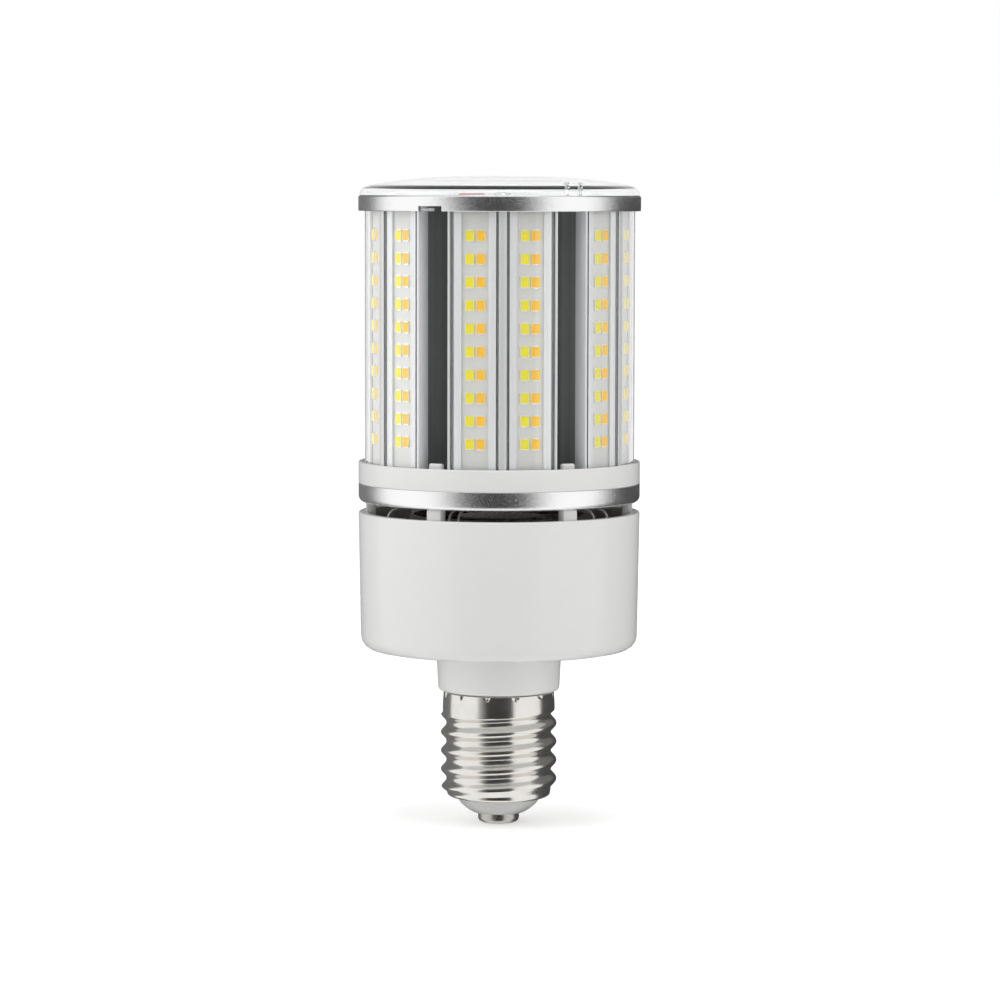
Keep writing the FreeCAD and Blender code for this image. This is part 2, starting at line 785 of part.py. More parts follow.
def heat_sink(number):
    """One extruded aluminium segment with two board channels, inward fins and an open screw port."""
    name = "heat_sink_%d" % number
    body = new_body(name)
    right = half_profile()
    left = [(-x, y) for x, y in reversed(right)]
    sketch = new_sketch(body, name + "_profile", "XY_Plane", COLUMN_FOOT)
    outline(sketch, right + left)
    pad(body, name + "_wall", sketch, L["column_height"])
    body.Placement = turned_to(360.0 / SEGMENTS * (number - 1) + ANGLES["column_turn"])
    keep(body, name)


def panel_turn(number):
    """Where panel 1 to 12 stands; odd panels lie left of their segment's rib."""
    segment = (number - 1) // 2
    side = -1 if number % 2 else 1
    return 360.0 / SEGMENTS * segment + ANGLES["column_turn"] + side * PANEL


def led_board(number):
    """A lighting board with two columns of surface-mounted light packages."""
    name = "led_board_%02d" % number
    body = new_body(name)
    sketch = new_sketch(body, name + "_outline", "XZ_Plane", CHANNEL_FLOOR)
    rectangle(sketch, -BOARD_EDGE, BOARD_EDGE, BOARD_FOOT, BOARD_TOP)
    pad(body, name + "_plate", sketch, L["board_thickness"])
    sketch = new_sketch(body, name + "_led_outline", "XZ_Plane", CHANNEL_FLOOR + L["board_thickness"])
    low = FIRST_LED - L["led_height"] / 2
    half = L["led_width"] / 2
    for side in (-1, 1):
        middle = L["led_column_spacing"] / 2 * side
        rectangle(sketch, middle - half, middle + half, low, low + L["led_height"])
    pair = pad(body, name + "_led_pair", sketch, L["led_rise"])
    rows = body.newObject("PartDesign::LinearPattern", name + "_leds")
    rows.Originals = [pair]
    rows.Direction = (sketch, ["V_Axis"])
    span = LED_ROW_SPACING * (LED_ROWS - 1)
    rows.Length = span.number
    rows.setExpression("Length", span.formula)
    rows.Occurrences = LED_ROWS
    body.Tip = rows
    body.Placement = turned_to(panel_turn(number))
    keep(body, name)


def cover_strip(number):
    """A clear strip over one lighting board, curved outside and flat inside, with a leg in each groove."""
    name = "cover_strip_%02d" % number
    body = new_body(name)
    inside = FLANGE_FACE + L["cover_play"]
    side = inside + L["cover_side_height"]
    edge = COVER_EDGE
    inner = edge - L["cover_leg"]
    foot = inside - L["cover_leg_depth"]
    low = BASE_RING + L["cover_foot_gap"]
    sketch = new_sketch(body, name + "_outline", "XY_Plane", low)
    outline(sketch, [
        (-edge, -side),
        (edge, -side),
        (edge, -foot),
        (inner, -foot),
        (inner, -inside),
        (-inner, -inside),
        (-inner, -foot),
        (-edge, -foot),
    ], {0: L["cover_curve_radius"]})
    pad(body, name + "_strip", sketch, BOARD_TOP - low)
    body.Placement = turned_to(panel_turn(number))
    keep(body, name)


def top_ring():
    """The satin ring over the column's head: a skirt, a flange on the segments' ends, and a pry notch."""
    body = new_body("top_ring")
    foot = COLUMN_TOP - L["top_ring_skirt"]
    flange_edge = BODY_RADIUS - L["top_flange_width"]
    revolve(body, "head_ring", [
        (RING_BORE, foot),
        (BODY_RADIUS, foot),
        (BODY_RADIUS, RING_TOP),
        (TOP_LAND, RING_TOP),
        (TOP_LAND, FLANGE_TOP),
        (flange_edge, FLANGE_TOP),
        (flange_edge, COLUMN_TOP),
        (RING_BORE, COLUMN_TOP),
    ])
    sketch = new_sketch(body, "notch_outline", "XZ_Plane")
    half = L["notch_width"] / 2
    middle = BODY_RADIUS * -sine(SLOT)
    rectangle(sketch, middle - half, middle + half, foot - OVERSHOOT, foot + L["notch_height"])
    pocket(body, "notch", sketch, BODY_RADIUS + OVERSHOOT, True)
    body.Placement = turned_to(ANGLES["column_turn"])
    keep(body, "top_ring")


def top_board():
    """The round lighting board under the dome, with its light packages in a ring."""
    body = new_body("top_board")
    sketch = new_sketch(body, "disc_outline", "XY_Plane", FLANGE_TOP)
    circle(sketch, ZERO, ZERO, TOP_BOARD_RADIUS)
    pad(body, "disc", sketch, L["top_board_thickness"])
    sketch = new_sketch(body, "top_led_outline", "XY_Plane", FLANGE_TOP + L["top_board_thickness"])
    half = L["led_width"] / 2
    middle = TOP_BOARD_RADIUS - L["top_led_inset"]
    rectangle(sketch, -half, half, -middle - L["led_height"] / 2, L["led_height"] / 2 - middle)
    package = pad(body, "top_led", sketch, L["led_rise"])
    around_axis(body, "top_leds", package, TOP_LEDS)
    body.Placement = turned_to(ANGLES["column_turn"])
    keep(body, "top_board")


def dome_cover():
    """The clear lid: a low dome with a bevelled corner and three clips under it."""
    body = new_body("dome_cover")
    wall = L["dome_wall"]
    corner = L["dome_corner"]
    side = RING_TOP + L["dome_side_height"]
    shoulder = side + corner
    apex = RING_TOP + L["dome_rise"]
    edge = BODY_RADIUS - L["dome_inset"]
    flat = BODY_RADIUS - L["dome_slope_width"]
    revolve(body, "lid", [
        (edge - wall, RING_TOP),
        (edge, RING_TOP),
        (edge, side),
        (edge - corner, shoulder),
        (flat, apex),
        (ZERO, apex),
        (ZERO, apex - wall),
        (flat, apex - wall),
        (edge - wall, side),
    ])
    sketch = new_sketch(body, "clip_outline", "XY_Plane", RING_TOP, ANGLES["column_turn"] + SLOT)
    half = L["clip_width"] / 2
    outer = edge - wall - L["clip_inset"]
    rectangle(sketch, -half, half, -outer, L["clip_depth"] - outer)
    clip = pad(body, "clip", sketch, shoulder - wall / 2 - RING_TOP)
    around_axis(body, "clips", clip, CLIPS)
    keep(body, "dome_cover")


centre_contact()
cap_insulator()
cap_shell()
housing()
driver()
fan_tray()
fan_frame()
fan_rotor()
lower_ring()
base_ring()
for number in range(1, SEGMENTS + 1):
    heat_sink(number)
for number in range(1, SEGMENTS * 2 + 1):
    led_board(number)
    cover_strip(number)
top_ring()
top_board()
dome_cover()

document.recompute()
for item in document.Objects:
    if "Invalid" in item.State or "Error" in item.State:
        raise RuntimeError(item.Label + " failed: " + str(item.State))
for item in nodes:
    if item.Shape.isNull() or not item.Shape.isValid() or not item.Shape.Solids:
        raise RuntimeError(item.Label + " has no valid shape")

os.makedirs("parts", exist_ok=True)
for item in nodes:
    item.Shape.exportStep("parts/" + item.Label + ".step")
    print(item.Label, len(item.Shape.Solids), "solids", round(item.Shape.Volume), "cubic mm")
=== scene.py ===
# %% [markdown]
# A corn LED lamp stands on its screw cap. White plastic, satin metal, bare aluminium, clear plastic and two
# columns of small light packages on each of twelve boards: most of the work is in thin edges and in finishes.
# The measured model is loaded first and stays as it is; every piece below is made around it, in millimetres,
# and is scaled to metres at the very end of its making.

# %% Load the measured model
import math

import bmesh
import bpy
from mathutils import Matrix, Vector


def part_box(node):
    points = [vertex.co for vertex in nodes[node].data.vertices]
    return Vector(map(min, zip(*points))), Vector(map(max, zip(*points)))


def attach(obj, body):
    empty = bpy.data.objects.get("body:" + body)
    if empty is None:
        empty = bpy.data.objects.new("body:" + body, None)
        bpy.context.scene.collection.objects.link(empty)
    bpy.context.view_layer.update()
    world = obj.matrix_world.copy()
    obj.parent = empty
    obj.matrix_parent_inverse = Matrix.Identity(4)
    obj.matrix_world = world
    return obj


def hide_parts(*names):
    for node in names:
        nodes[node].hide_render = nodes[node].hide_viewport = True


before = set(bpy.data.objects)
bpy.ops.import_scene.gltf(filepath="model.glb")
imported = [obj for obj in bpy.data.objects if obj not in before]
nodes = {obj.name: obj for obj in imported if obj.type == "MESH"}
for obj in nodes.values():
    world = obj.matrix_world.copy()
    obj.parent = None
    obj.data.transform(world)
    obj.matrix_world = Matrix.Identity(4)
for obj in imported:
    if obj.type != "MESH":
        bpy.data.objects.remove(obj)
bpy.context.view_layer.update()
MM = 0.001


def span(node):
    """The lowest and highest corner of a measured piece, in millimetres."""
    low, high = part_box(node)
    return low / MM, high / MM


def new_object(name, data):
    """An object for some data, put into the scene."""
    made = bpy.data.objects.new(name, data)
    bpy.context.scene.collection.objects.link(made)
    return made


def plain_mesh(bm, name, factor=1.0):
    """Turn a working mesh into mesh data, scaled by a factor."""
    bmesh.ops.scale(bm, vec=(factor, factor, factor), verts=bm.verts[:])
    mesh = bpy.data.meshes.new(name)
    bm.to_mesh(mesh)
    bm.free()
    return mesh


def about_axis(turn, size=3):
    """The turn about the lamp's axis by some degrees, as a matrix."""
    return Matrix.Rotation(math.radians(turn), size, "Z")


# %% [markdown]
# The camera stands 1.29 m from the lamp's axis, level with its top ring and tilted down a little. Those three
# numbers were solved from how far each ring sags in the picture. A 137 mm lens then gives the same size.

# %% Camera
CAMERA_DISTANCE = 1.290
CAMERA_HEIGHT = 0.2132
CAMERA_TILT = 4.571
CAMERA_ROLL = -0.11
camera_data = bpy.data.cameras.new("view")
camera_data.lens = 137.2
camera_data.sensor_width = 36
camera = new_object("view", camera_data)
camera.location = (0.0001, -CAMERA_DISTANCE, CAMERA_HEIGHT)
camera.rotation_euler = (math.radians(90 - CAMERA_TILT), math.radians(CAMERA_ROLL), 0)
bpy.context.scene.camera = camera
bpy.context.scene.view_settings.view_transform = "Standard"
print("camera", CAMERA_DISTANCE, "m away with a lens of", camera_data.lens, "mm")

# %% [markdown]
# Every finish starts from one Principled shader whose plain numbers are set straight on its own sockets.
# What changes over a surface comes from two shared node groups: a fine grain, for moulded and blasted
# surfaces, and drawn lines, for the streaks that an extrusion die or a lathe tool leaves.

# %% Shared effects
def new_group(name, inputs, outputs):
    group = bpy.data.node_groups.new(name, "ShaderNodeTree")
    for title, value in inputs.items():
        socket = group.interface.new_socket(title, in_out="INPUT", socket_type="NodeSocketFloat")
        socket.default_value = value
    for title in outputs:
        group.interface.new_socket(title, in_out="OUTPUT", socket_type="NodeSocketFloat")
    group.nodes.new("NodeGroupInput").name = "in"
    group.nodes.new("NodeGroupOutput").name = "out"
    return group


def math_node(tree, operation, first, second):
    """A Math node whose two inputs are numbers or sockets."""
    node = tree.nodes.new("ShaderNodeMath")
    node.operation = operation
    for index, value in enumerate((first, second)):
        if hasattr(value, "node"):
            tree.links.new(value, node.inputs[index])
        else:
            node.inputs[index].default_value = value
    return node.outputs[0]


def noise_between(tree, vector, scale, low, high, detail=3.0):
    """Noise on a vector, spread between two values; also the bare noise, for height."""
    noise = tree.nodes.new("ShaderNodeTexNoise")
    noise.inputs["Detail"].default_value = detail
    tree.links.new(vector, noise.inputs["Vector"])
    tree.links.new(scale, noise.inputs["Scale"])
    spread = tree.nodes.new("ShaderNodeMapRange")
    spread.inputs["From Min"].default_value = 0.3
    spread.inputs["From Max"].default_value = 0.7
    tree.links.new(noise.outputs["Fac"], spread.inputs["Value"])
    tree.links.new(low, spread.inputs["To Min"])
    tree.links.new(high, spread.inputs["To Max"])
    return spread.outputs["Result"], noise.outputs["Fac"]


def build_grain():
    """Even grain: the same in every direction."""
    group = new_group("even_grain", {"Scale": 900.0, "Low": 0.2, "High": 0.3}, ("Value", "Height"))
    place = group.nodes.new("ShaderNodeTexCoord")
    entry = group.nodes["in"].outputs
    value, height = noise_between(group, place.outputs["Object"], entry["Scale"], entry["Low"], entry["High"])
    group.links.new(value, group.nodes["out"].inputs["Value"])
    group.links.new(height, group.nodes["out"].inputs["Height"])
    return group


def build_lines():
    """Fine lines: the place is stretched along the lamp's axis, so the noise runs out into streaks."""
    group = new_group("drawn_lines", {"Scale": 900.0, "Stretch": 0.02, "Low": 0.2, "High": 0.3},
                      ("Value", "Height"))
    place = group.nodes.new("ShaderNodeTexCoord")
    entry = group.nodes["in"].outputs
    parts = group.nodes.new("ShaderNodeSeparateXYZ")
    group.links.new(place.outputs["Object"], parts.inputs[0])
    whole = group.nodes.new("ShaderNodeCombineXYZ")
    group.links.new(parts.outputs["X"], whole.inputs["X"])
    group.links.new(parts.outputs["Y"], whole.inputs["Y"])
    group.links.new(math_node(group, "MULTIPLY", parts.outputs["Z"], entry["Stretch"]), whole.inputs["Z"])
    value, height = noise_between(group, whole.outputs[0], entry["Scale"], entry["Low"], entry["High"])
    group.links.new(value, group.nodes["out"].inputs["Value"])
    group.links.new(height, group.nodes["out"].inputs["Height"])
    return group


grain = build_grain()
lines = build_lines()
print("shared effects", [group.name for group in (grain, lines)])


# %% [markdown]
# The finishes follow, from nickel and satin aluminium to the two phosphors. Each opaque one has two close
# tones that the shared effect mixes, so no surface is one flat colour. Clear plastic stays fully polished.

# %% Finishes
def finish_of(name, effect=None, settings=None, bump=0.0, second=None, **sockets):
    """A material: plain numbers on the shader, and the rest from a shared effect.

    The effect gives the roughness, a faint bump and the mix with a second tone.
    """
    made = bpy.data.materials.new(name)
    made.use_nodes = True
    tree = made.node_tree
    shader = tree.nodes["Principled BSDF"]
    for title, value in sockets.items():
        shader.inputs[title.replace("_", " ")].default_value = value
    if effect is not None:
        node = tree.nodes.new("ShaderNodeGroup")
        node.node_tree = effect
        for title, value in settings.items():
            node.inputs[title].default_value = value
        tree.links.new(node.outputs["Value"], shader.inputs["Roughness"])
        if second:
            tones = tree.nodes.new("ShaderNodeMix")
            tones.data_type = "RGBA"
            tones.inputs[6].default_value = sockets["Base_Color"]
            tones.inputs[7].default_value = second
            tree.links.new(node.outputs["Height"], tones.inputs["Factor"])
            tree.links.new(tones.outputs[2], shader.inputs["Base Color"])
        if bump:
            bump_node = tree.nodes.new("ShaderNodeBump")
            bump_node.inputs["Strength"].default_value = bump
            bump_node.inputs["Distance"].default_value = 0.0001
            tree.links.new(node.outputs["Height"], bump_node.inputs["Height"])
            tree.links.new(bump_node.outputs["Normal"], shader.inputs["Normal"])
    return made


def see_through(made):
    """Let lamps shine through a clear piece: a shadow ray meets a transparent shader."""
    tree = made.node_tree
    shader = tree.nodes["Principled BSDF"]
    path = tree.nodes.new("ShaderNodeLightPath")
    clear = tree.nodes.new("ShaderNodeBsdfTransparent")
    clear.inputs["Color"].default_value = (0.93, 0.94, 0.95, 1)
    mix = tree.nodes.new("ShaderNodeMixShader")
    tree.links.new(path.outputs["Is Shadow Ray"], mix.inputs["Fac"])
    tree.links.new(shader.outputs["BSDF"], mix.inputs[1])
    tree.links.new(clear.outputs["BSDF"], mix.inputs[2])
    tree.links.new(mix.outputs[0], tree.nodes["Material Output"].inputs["Surface"])
    return made


def ripple(made, scale, strength):
    """The faint waviness of moulded clear plastic: a bump from slow noise on a polished surface."""
    tree = made.node_tree
    node = tree.nodes.new("ShaderNodeGroup")
    node.node_tree = grain
    node.inputs["Scale"].default_value = scale
    bump_node = tree.nodes.new("ShaderNodeBump")
    bump_node.inputs["Strength"].default_value = strength
    bump_node.inputs["Distance"].default_value = 0.0002
    tree.links.new(node.outputs["Height"], bump_node.inputs["Height"])
    tree.links.new(bump_node.outputs["Normal"], tree.nodes["Principled BSDF"].inputs["Normal"])
    return made


def rgb(red, green, blue):
    return (red, green, blue, 1)


nickel = finish_of("bright_nickel", grain, {"Scale": 260, "Low": 0.17, "High": 0.24}, 0.03,
                   rgb(0.75, 0.73, 0.69), Base_Color=rgb(0.84, 0.82, 0.78), Metallic=1)
tin = finish_of("dull_tin", grain, {"Scale": 1500, "Low": 0.22, "High": 0.40}, 0.15,
                rgb(0.46, 0.45, 0.42), Base_Color=rgb(0.58, 0.56, 0.52), Metallic=1)
blasted = finish_of("blasted_aluminium", grain, {"Scale": 5200, "Low": 0.20, "High": 0.29}, 0.5,
                    rgb(0.93, 0.93, 0.935), Base_Color=rgb(1.0, 1.0, 1.0), Metallic=1)
drawn = {"Scale": 1900, "Stretch": 0.004, "Low": 0.42, "High": 0.54}
extruded = finish_of("extruded_aluminium", lines, drawn, 0.05, rgb(0.76, 0.77, 0.77),
                     Base_Color=rgb(0.90, 0.90, 0.89), Metallic=0.4)
slot_metal = finish_of("slot_wall_aluminium", lines, drawn, 0.05, rgb(0.84, 0.86, 0.87),
                       Base_Color=rgb(0.94, 0.95, 0.96), Metallic=0.0)
# Painted shade: the grooves beside each board get a dark colour that stands in for the shade that falls into
# them.
groove_painted_shade = finish_of("painted_shade_groove", lines, drawn, 0.05, rgb(0.22, 0.23, 0.23),
                         Base_Color=rgb(0.32, 0.33, 0.33), Metallic=0.3)
# Painted shade: the faces inside the column and the pry tongue get a darker aluminium colour that stands in
# for the shade they lie in.
inside_drawn = {"Scale": 700, "Stretch": 0.004, "Low": 0.45, "High": 0.6}
inside_painted_shade = finish_of("inside_aluminium_painted_shade", lines, inside_drawn, 0.05, rgb(0.36, 0.38, 0.38),
                        Base_Color=rgb(0.62, 0.64, 0.64), Metallic=0.5)
white_gloss = finish_of("white_gloss_plastic", grain, {"Scale": 180, "Low": 0.16, "High": 0.22}, 0.02,
                        rgb(0.785, 0.785, 0.78), Base_Color=rgb(0.81, 0.81, 0.80), Specular_IOR_Level=0.35)
white_bowl = finish_of("white_insulator", grain, {"Scale": 400, "Low": 0.20, "High": 0.28}, 0.03,
                       rgb(0.64, 0.64, 0.63), Base_Color=rgb(0.70, 0.70, 0.69))
mask_white = finish_of("white_solder_mask", grain, {"Scale": 1400, "Low": 0.34, "High": 0.46}, 0.06,
                       rgb(0.76, 0.755, 0.72), Base_Color=rgb(0.80, 0.795, 0.76))
package_white = finish_of("white_package", grain, {"Scale": 2500, "Low": 0.30, "High": 0.45}, 0.0,
                          rgb(0.94, 0.91, 0.72), Base_Color=rgb(0.97, 0.95, 0.82))
solder = finish_of("solder", grain, {"Scale": 3000, "Low": 0.2, "High": 0.4}, 0.0,
                   rgb(0.66, 0.66, 0.67), Base_Color=rgb(0.80, 0.80, 0.81), Metallic=1)
# Both phosphors carry a faint emission: a painted glow that makes their colour brighter than the lamps alone
# would.
yellow_fill = finish_of("cool_phosphor", grain, {"Scale": 5000, "Low": 0.25, "High": 0.4}, 0.1,
                        rgb(0.93, 0.78, 0.003), Base_Color=rgb(0.97, 0.90, 0.003),
                        Emission_Color=rgb(1.0, 0.9, 0.0), Emission_Strength=0.05,
                        Specular_IOR_Level=0.25)
orange_fill = finish_of("warm_phosphor", grain, {"Scale": 5000, "Low": 0.25, "High": 0.4}, 0.1,
                        rgb(1.0, 0.50, 0.002), Base_Color=rgb(1.0, 0.60, 0.002),
                        Emission_Color=rgb(1.0, 0.55, 0.0), Emission_Strength=0.12,
                        Specular_IOR_Level=0.25)
clear = see_through(ripple(finish_of("clear_plastic", Base_Color=rgb(0.97, 0.975, 0.98), Roughness=0.0,
                                     Transmission_Weight=1, IOR=1.49), 60, 0.06))
dark_plastic = finish_of("dark_moulding", grain, {"Scale": 900, "Low": 0.20, "High": 0.32}, 0.1,
                         rgb(0.085, 0.065, 0.052), Base_Color=rgb(0.13, 0.10, 0.085))
steel = finish_of("zinc_steel", grain, {"Scale": 1200, "Low": 0.2, "High": 0.35}, 0.05,
                  rgb(0.54, 0.54, 0.53), Base_Color=rgb(0.66, 0.66, 0.66), Metallic=1)
green_mask = finish_of("green_board", grain, {"Scale": 900, "Low": 0.3, "High": 0.42}, 0.05,
                       rgb(0.016, 0.10, 0.04), Base_Color=rgb(0.025, 0.14, 0.05))
ferrite = finish_of("ferrite", grain, {"Scale": 1500, "Low": 0.5, "High": 0.7}, 0.1,
                    rgb(0.022, 0.022, 0.024), Base_Color=rgb(0.04, 0.04, 0.042))
sleeve = finish_of("capacitor_sleeve", grain, {"Scale": 600, "Low": 0.2, "High": 0.3}, 0.0,
                   rgb(0.009, 0.011, 0.016), Base_Color=rgb(0.015, 0.017, 0.024))
red_lead = finish_of("red_lead", grain, {"Scale": 900, "Low": 0.35, "High": 0.45}, 0.05,
                     rgb(0.45, 0.009, 0.016), Base_Color=rgb(0.62, 0.014, 0.022))
white_lead = finish_of("white_lead", grain, {"Scale": 900, "Low": 0.35, "High": 0.45}, 0.05,
                       rgb(0.70, 0.70, 0.69), Base_Color=rgb(0.79, 0.79, 0.78))
print(len(bpy.data.materials), "finishes")

# %% [markdown]
# A few short helpers do what every piece needs. A turned piece starts as a line of points, radius and level;
# its corners are rounded while it is still a flat line, and then one spin makes the whole ring.
# Hard edges are told from soft ones by their angle, so a round side shades smooth and its rim stays crisp.

# %% Helpers for modelling
HARD_EDGE = math.radians(32)
AXIS = Vector((0, 0, 1))
ROUND_STEPS = 4
SEGMENT_ANGLE = 60
COLUMN_TURN = 1.4
PANEL_TURN = 11.8
SLOT_TURN = 30
SLOT_TURNS = [COLUMN_TURN + SLOT_TURN + SEGMENT_ANGLE * number for number in range(6)]
SCREW_TURNS = [COLUMN_TURN + 120 * number for number in range(3)]


def keep(bm, name, finishes, replaces=(), body="lamp", outward=True):
    """Scale a finished mesh to metres, make it an object and let it ride on its body."""
    if outward:
        bmesh.ops.recalc_face_normals(bm, faces=bm.faces[:])
    bmesh.ops.scale(bm, vec=(MM, MM, MM), verts=bm.verts[:])
    for edge in bm.edges:
        edge.smooth = len(edge.link_faces) != 2 or edge.calc_face_angle(0) < HARD_EDGE
    for face in bm.faces:
        face.smooth = True
    mesh = bpy.data.meshes.new(name)
    bm.to_mesh(mesh)
    bm.free()
    piece = new_object(name, mesh)
    for finish in finishes:
        mesh.materials.append(finish)
    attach(piece, body)
    if replaces:
        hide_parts(*replaces)
    return piece


def profile_line(bm, points, closed):
    """A flat line of (radius, level) or (radius, level, rounding) points, with its corners rounded."""
    corners = [bm.verts.new((point[0], 0, point[1])) for point in points]
    for start, end in zip(corners, corners[1:]):
        bm.edges.new((start, end))
    if closed:
        bm.edges.new((corners[-1], corners[0]))
    for corner, point in zip(corners, points):
        if len(point) > 2:
            bmesh.ops.bevel(bm, geom=[corner], offset=point[2], segments=ROUND_STEPS, profile=0.5,
                            affect="VERTICES", material=-1)


def turned(points, steps=180, closed=True):
    """A ring or a cup: the line spun once round the lamp's axis."""
    bm = bmesh.new()
    profile_line(bm, points, closed)
    bmesh.ops.spin(bm, geom=bm.verts[:] + bm.edges[:], cent=(0, 0, 0), axis=AXIS, angle=math.tau, steps=steps,
                   use_merge=True)
    bmesh.ops.remove_doubles(bm, verts=bm.verts[:], dist=0.0005)
    return bm


def brick(bm, middle, size, rounding, turn=0.0, segments=2):
    """A block with rounded edges, turned about the lamp's axis; 0 faces the front."""
    made = bmesh.ops.create_cube(bm, size=1)["verts"]
    bmesh.ops.scale(bm, vec=size, verts=made)
    bmesh.ops.translate(bm, vec=middle, verts=made)
    edges = list({edge for vert in made for edge in vert.link_edges})
    result = bmesh.ops.bevel(bm, geom=edges, offset=rounding, segments=segments, profile=0.5, affect="EDGES",
                             material=-1)
    verts = list({vert for face in result["faces"] for vert in face.verts} | {v for v in made if v.is_valid})
    bmesh.ops.rotate(bm, cent=(0, 0, 0), matrix=about_axis(turn), verts=verts)
    return verts


print("slots at", [round(turn, 1) for turn in SLOT_TURNS], "degrees")

# %% [markdown]
# The screw cap is sheet metal rolled to a thread. One pitch of the wave is drawn as a short line and spun
# with a rise, so each turn joins the one below. The wave is then flattened towards both ends, cut level, and
# the two open edges are drawn out into the collar and the rolled rim.

# %% Screw shell
PITCH = 6.35
CREST = 19.75
ROOT = 17.85
CREST_LEVEL = 8.6
THREAD_LOW = 9.7
THREAD_HIGH = 39.2
RUN_IN = 3.0
WAVE_POINTS = 20
TURN_STEPS = 240
COLLAR = 19.1
RIM_CALM = 17.5
COLLAR_FOOT = 37.85
CRIMPS = 12
CRIMP_LEVEL = 43.3
CRIMP_HEIGHT = 1.3
CRIMP_PUSH = 0.6
FIRST_CRIMP = -42


def soft_step(low, high, value):
    part = min(max((value - low) / (high - low), 0), 1)
    return part * part * (3 - 2 * part)


def draw_out(bm, edges, ring):
    """Extend an open edge to a new radius and level."""
    radius, level = ring
    made = bmesh.ops.extrude_edge_only(bm, edges=edges)["geom"]
    verts = [item for item in made if isinstance(item, bmesh.types.BMVert)]
    for vert in verts:
        flat = Vector((vert.co.x, vert.co.y, 0)).normalized() * radius
        vert.co = (flat.x, flat.y, level)
    return [item for item in made if isinstance(item, bmesh.types.BMEdge)]


def open_edge(bm, level):
    return [edge for edge in bm.edges if edge.is_boundary
            and all(abs(vert.co.z - level) < 0.01 for vert in edge.verts)]


def wave(share):
    """The rolled profile over one pitch, from crest to crest; roots a little wider than crests."""
    return ROOT + (CREST - ROOT) * (0.5 + 0.5 * math.cos(math.tau * share)) ** 1.12


def collar_foot(vert):
    """The level at which the wave has run into the collar; it climbs as the thread does."""
    turn = math.degrees(math.atan2(vert.co.x, -vert.co.y))
    return COLLAR_FOOT + 0.45 * math.sin(math.radians(turn))


shell = bmesh.new()
line = [shell.verts.new((wave(number / WAVE_POINTS), 0, CREST_LEVEL - PITCH + PITCH * number / WAVE_POINTS))
        for number in range(WAVE_POINTS + 1)]
for start, end in zip(line, line[1:]):
    shell.edges.new((start, end))
turns = math.ceil((THREAD_HIGH - CREST_LEVEL) / PITCH) + 1
bmesh.ops.spin(shell, geom=shell.verts[:] + shell.edges[:], cent=(0, 0, 0), axis=AXIS,
               dvec=(0, 0, PITCH / TURN_STEPS), angle=math.tau * turns, steps=TURN_STEPS * turns)
bmesh.ops.remove_doubles(shell, verts=shell.verts[:], dist=0.001)
for level, side in ((THREAD_LOW, -1), (THREAD_HIGH, 1)):
    geometry = shell.verts[:] + shell.edges[:] + shell.faces[:]
    bmesh.ops.bisect_plane(shell, geom=geometry, plane_co=(0, 0, level), plane_no=(0, 0, side), dist=0.0001,
                           clear_outer=True)
for vert in shell.verts:
    radius = math.hypot(vert.co.x, vert.co.y)
    low_fade = soft_step(THREAD_LOW, THREAD_LOW + RUN_IN, vert.co.z)
    high_fade = 1 - soft_step(collar_foot(vert) - 0.8, collar_foot(vert) + 0.5, vert.co.z)
    calm = RIM_CALM if vert.co.z < 20 else COLLAR
    wanted = calm + (radius - calm) * low_fade * high_fade
    vert.co.x *= wanted / radius
    vert.co.y *= wanted / radius
RIM_RINGS = ((17.2, 9.35), (16.6, 9.0), (15.9, 8.8), (15.4, 8.75), (15.02, 8.95), (15.0, 9.6))
COLLAR_RINGS = ((19.08, 40.2), (19.0, 42.0), (18.92, 43.0), (18.9, 43.3), (18.89, 43.6), (18.88, 43.9),
                (18.86, 44.2), (18.84, 44.5), (18.78, 44.8), (18.6, 44.98), (18.3, 45.0), (18.1, 44.7))
for level, rings in ((THREAD_LOW, RIM_RINGS), (THREAD_HIGH, COLLAR_RINGS)):
    edges = open_edge(shell, level)
    for ring in rings:
        edges = draw_out(shell, edges, ring)
for number in range(CRIMPS):
    angle = math.radians(FIRST_CRIMP + 360 / CRIMPS * number)
    for vert in shell.verts:
        if vert.co.z < CRIMP_LEVEL:
            continue
        turn = math.atan2(vert.co.x, -vert.co.y) - angle
        across = abs(math.atan2(math.sin(turn), math.cos(turn))) * COLLAR
        depth = min((vert.co.z - CRIMP_LEVEL) / CRIMP_HEIGHT, 1)
        push = max(0, 1 - across / (0.15 + 0.75 * depth)) * CRIMP_PUSH
        vert.co.x *= 1 - push / COLLAR
        vert.co.y *= 1 - push / COLLAR
bmesh.ops.recalc_face_normals(shell, faces=shell.faces[:])
screw_shell = keep(shell, "screw_shell", [nickel], ["cap_shell"])
print("screw shell", len(screw_shell.data.polygons), "faces,", turns, "turns spun")

# %% [markdown]
# Under the shell come the moulded bowl that insulates it and the round contact in the middle.

# %% Insulator and contact
bowl = turned([
    (0, 3.4), (8.6, 3.4, 0.5), (11.2, 4.9, 1.4), (13.4, 7.0, 1.6), (14.9, 9.6, 0.8), (14.9, 12.0), (0, 12.0),
], closed=False)
keep(bowl, "insulator_bowl", [white_bowl], ["cap_insulator"])
button = turned([(0, 0.0), (6.1, 0.0, 0.7), (7.0, 1.0, 0.7), (7.0, 3.4), (0, 3.4)], 96, closed=False)
contact = keep(button, "contact_button", [tin], ["centre_contact"])
print("contact", len(contact.data.polygons), "faces")

# %% [markdown]
# The housing is one moulding: cup, rounded foot and neck come from a single turned line. The posts that leave
# the vent gap open, and the pillars inside, are blocks with soft edges that run into the wall.

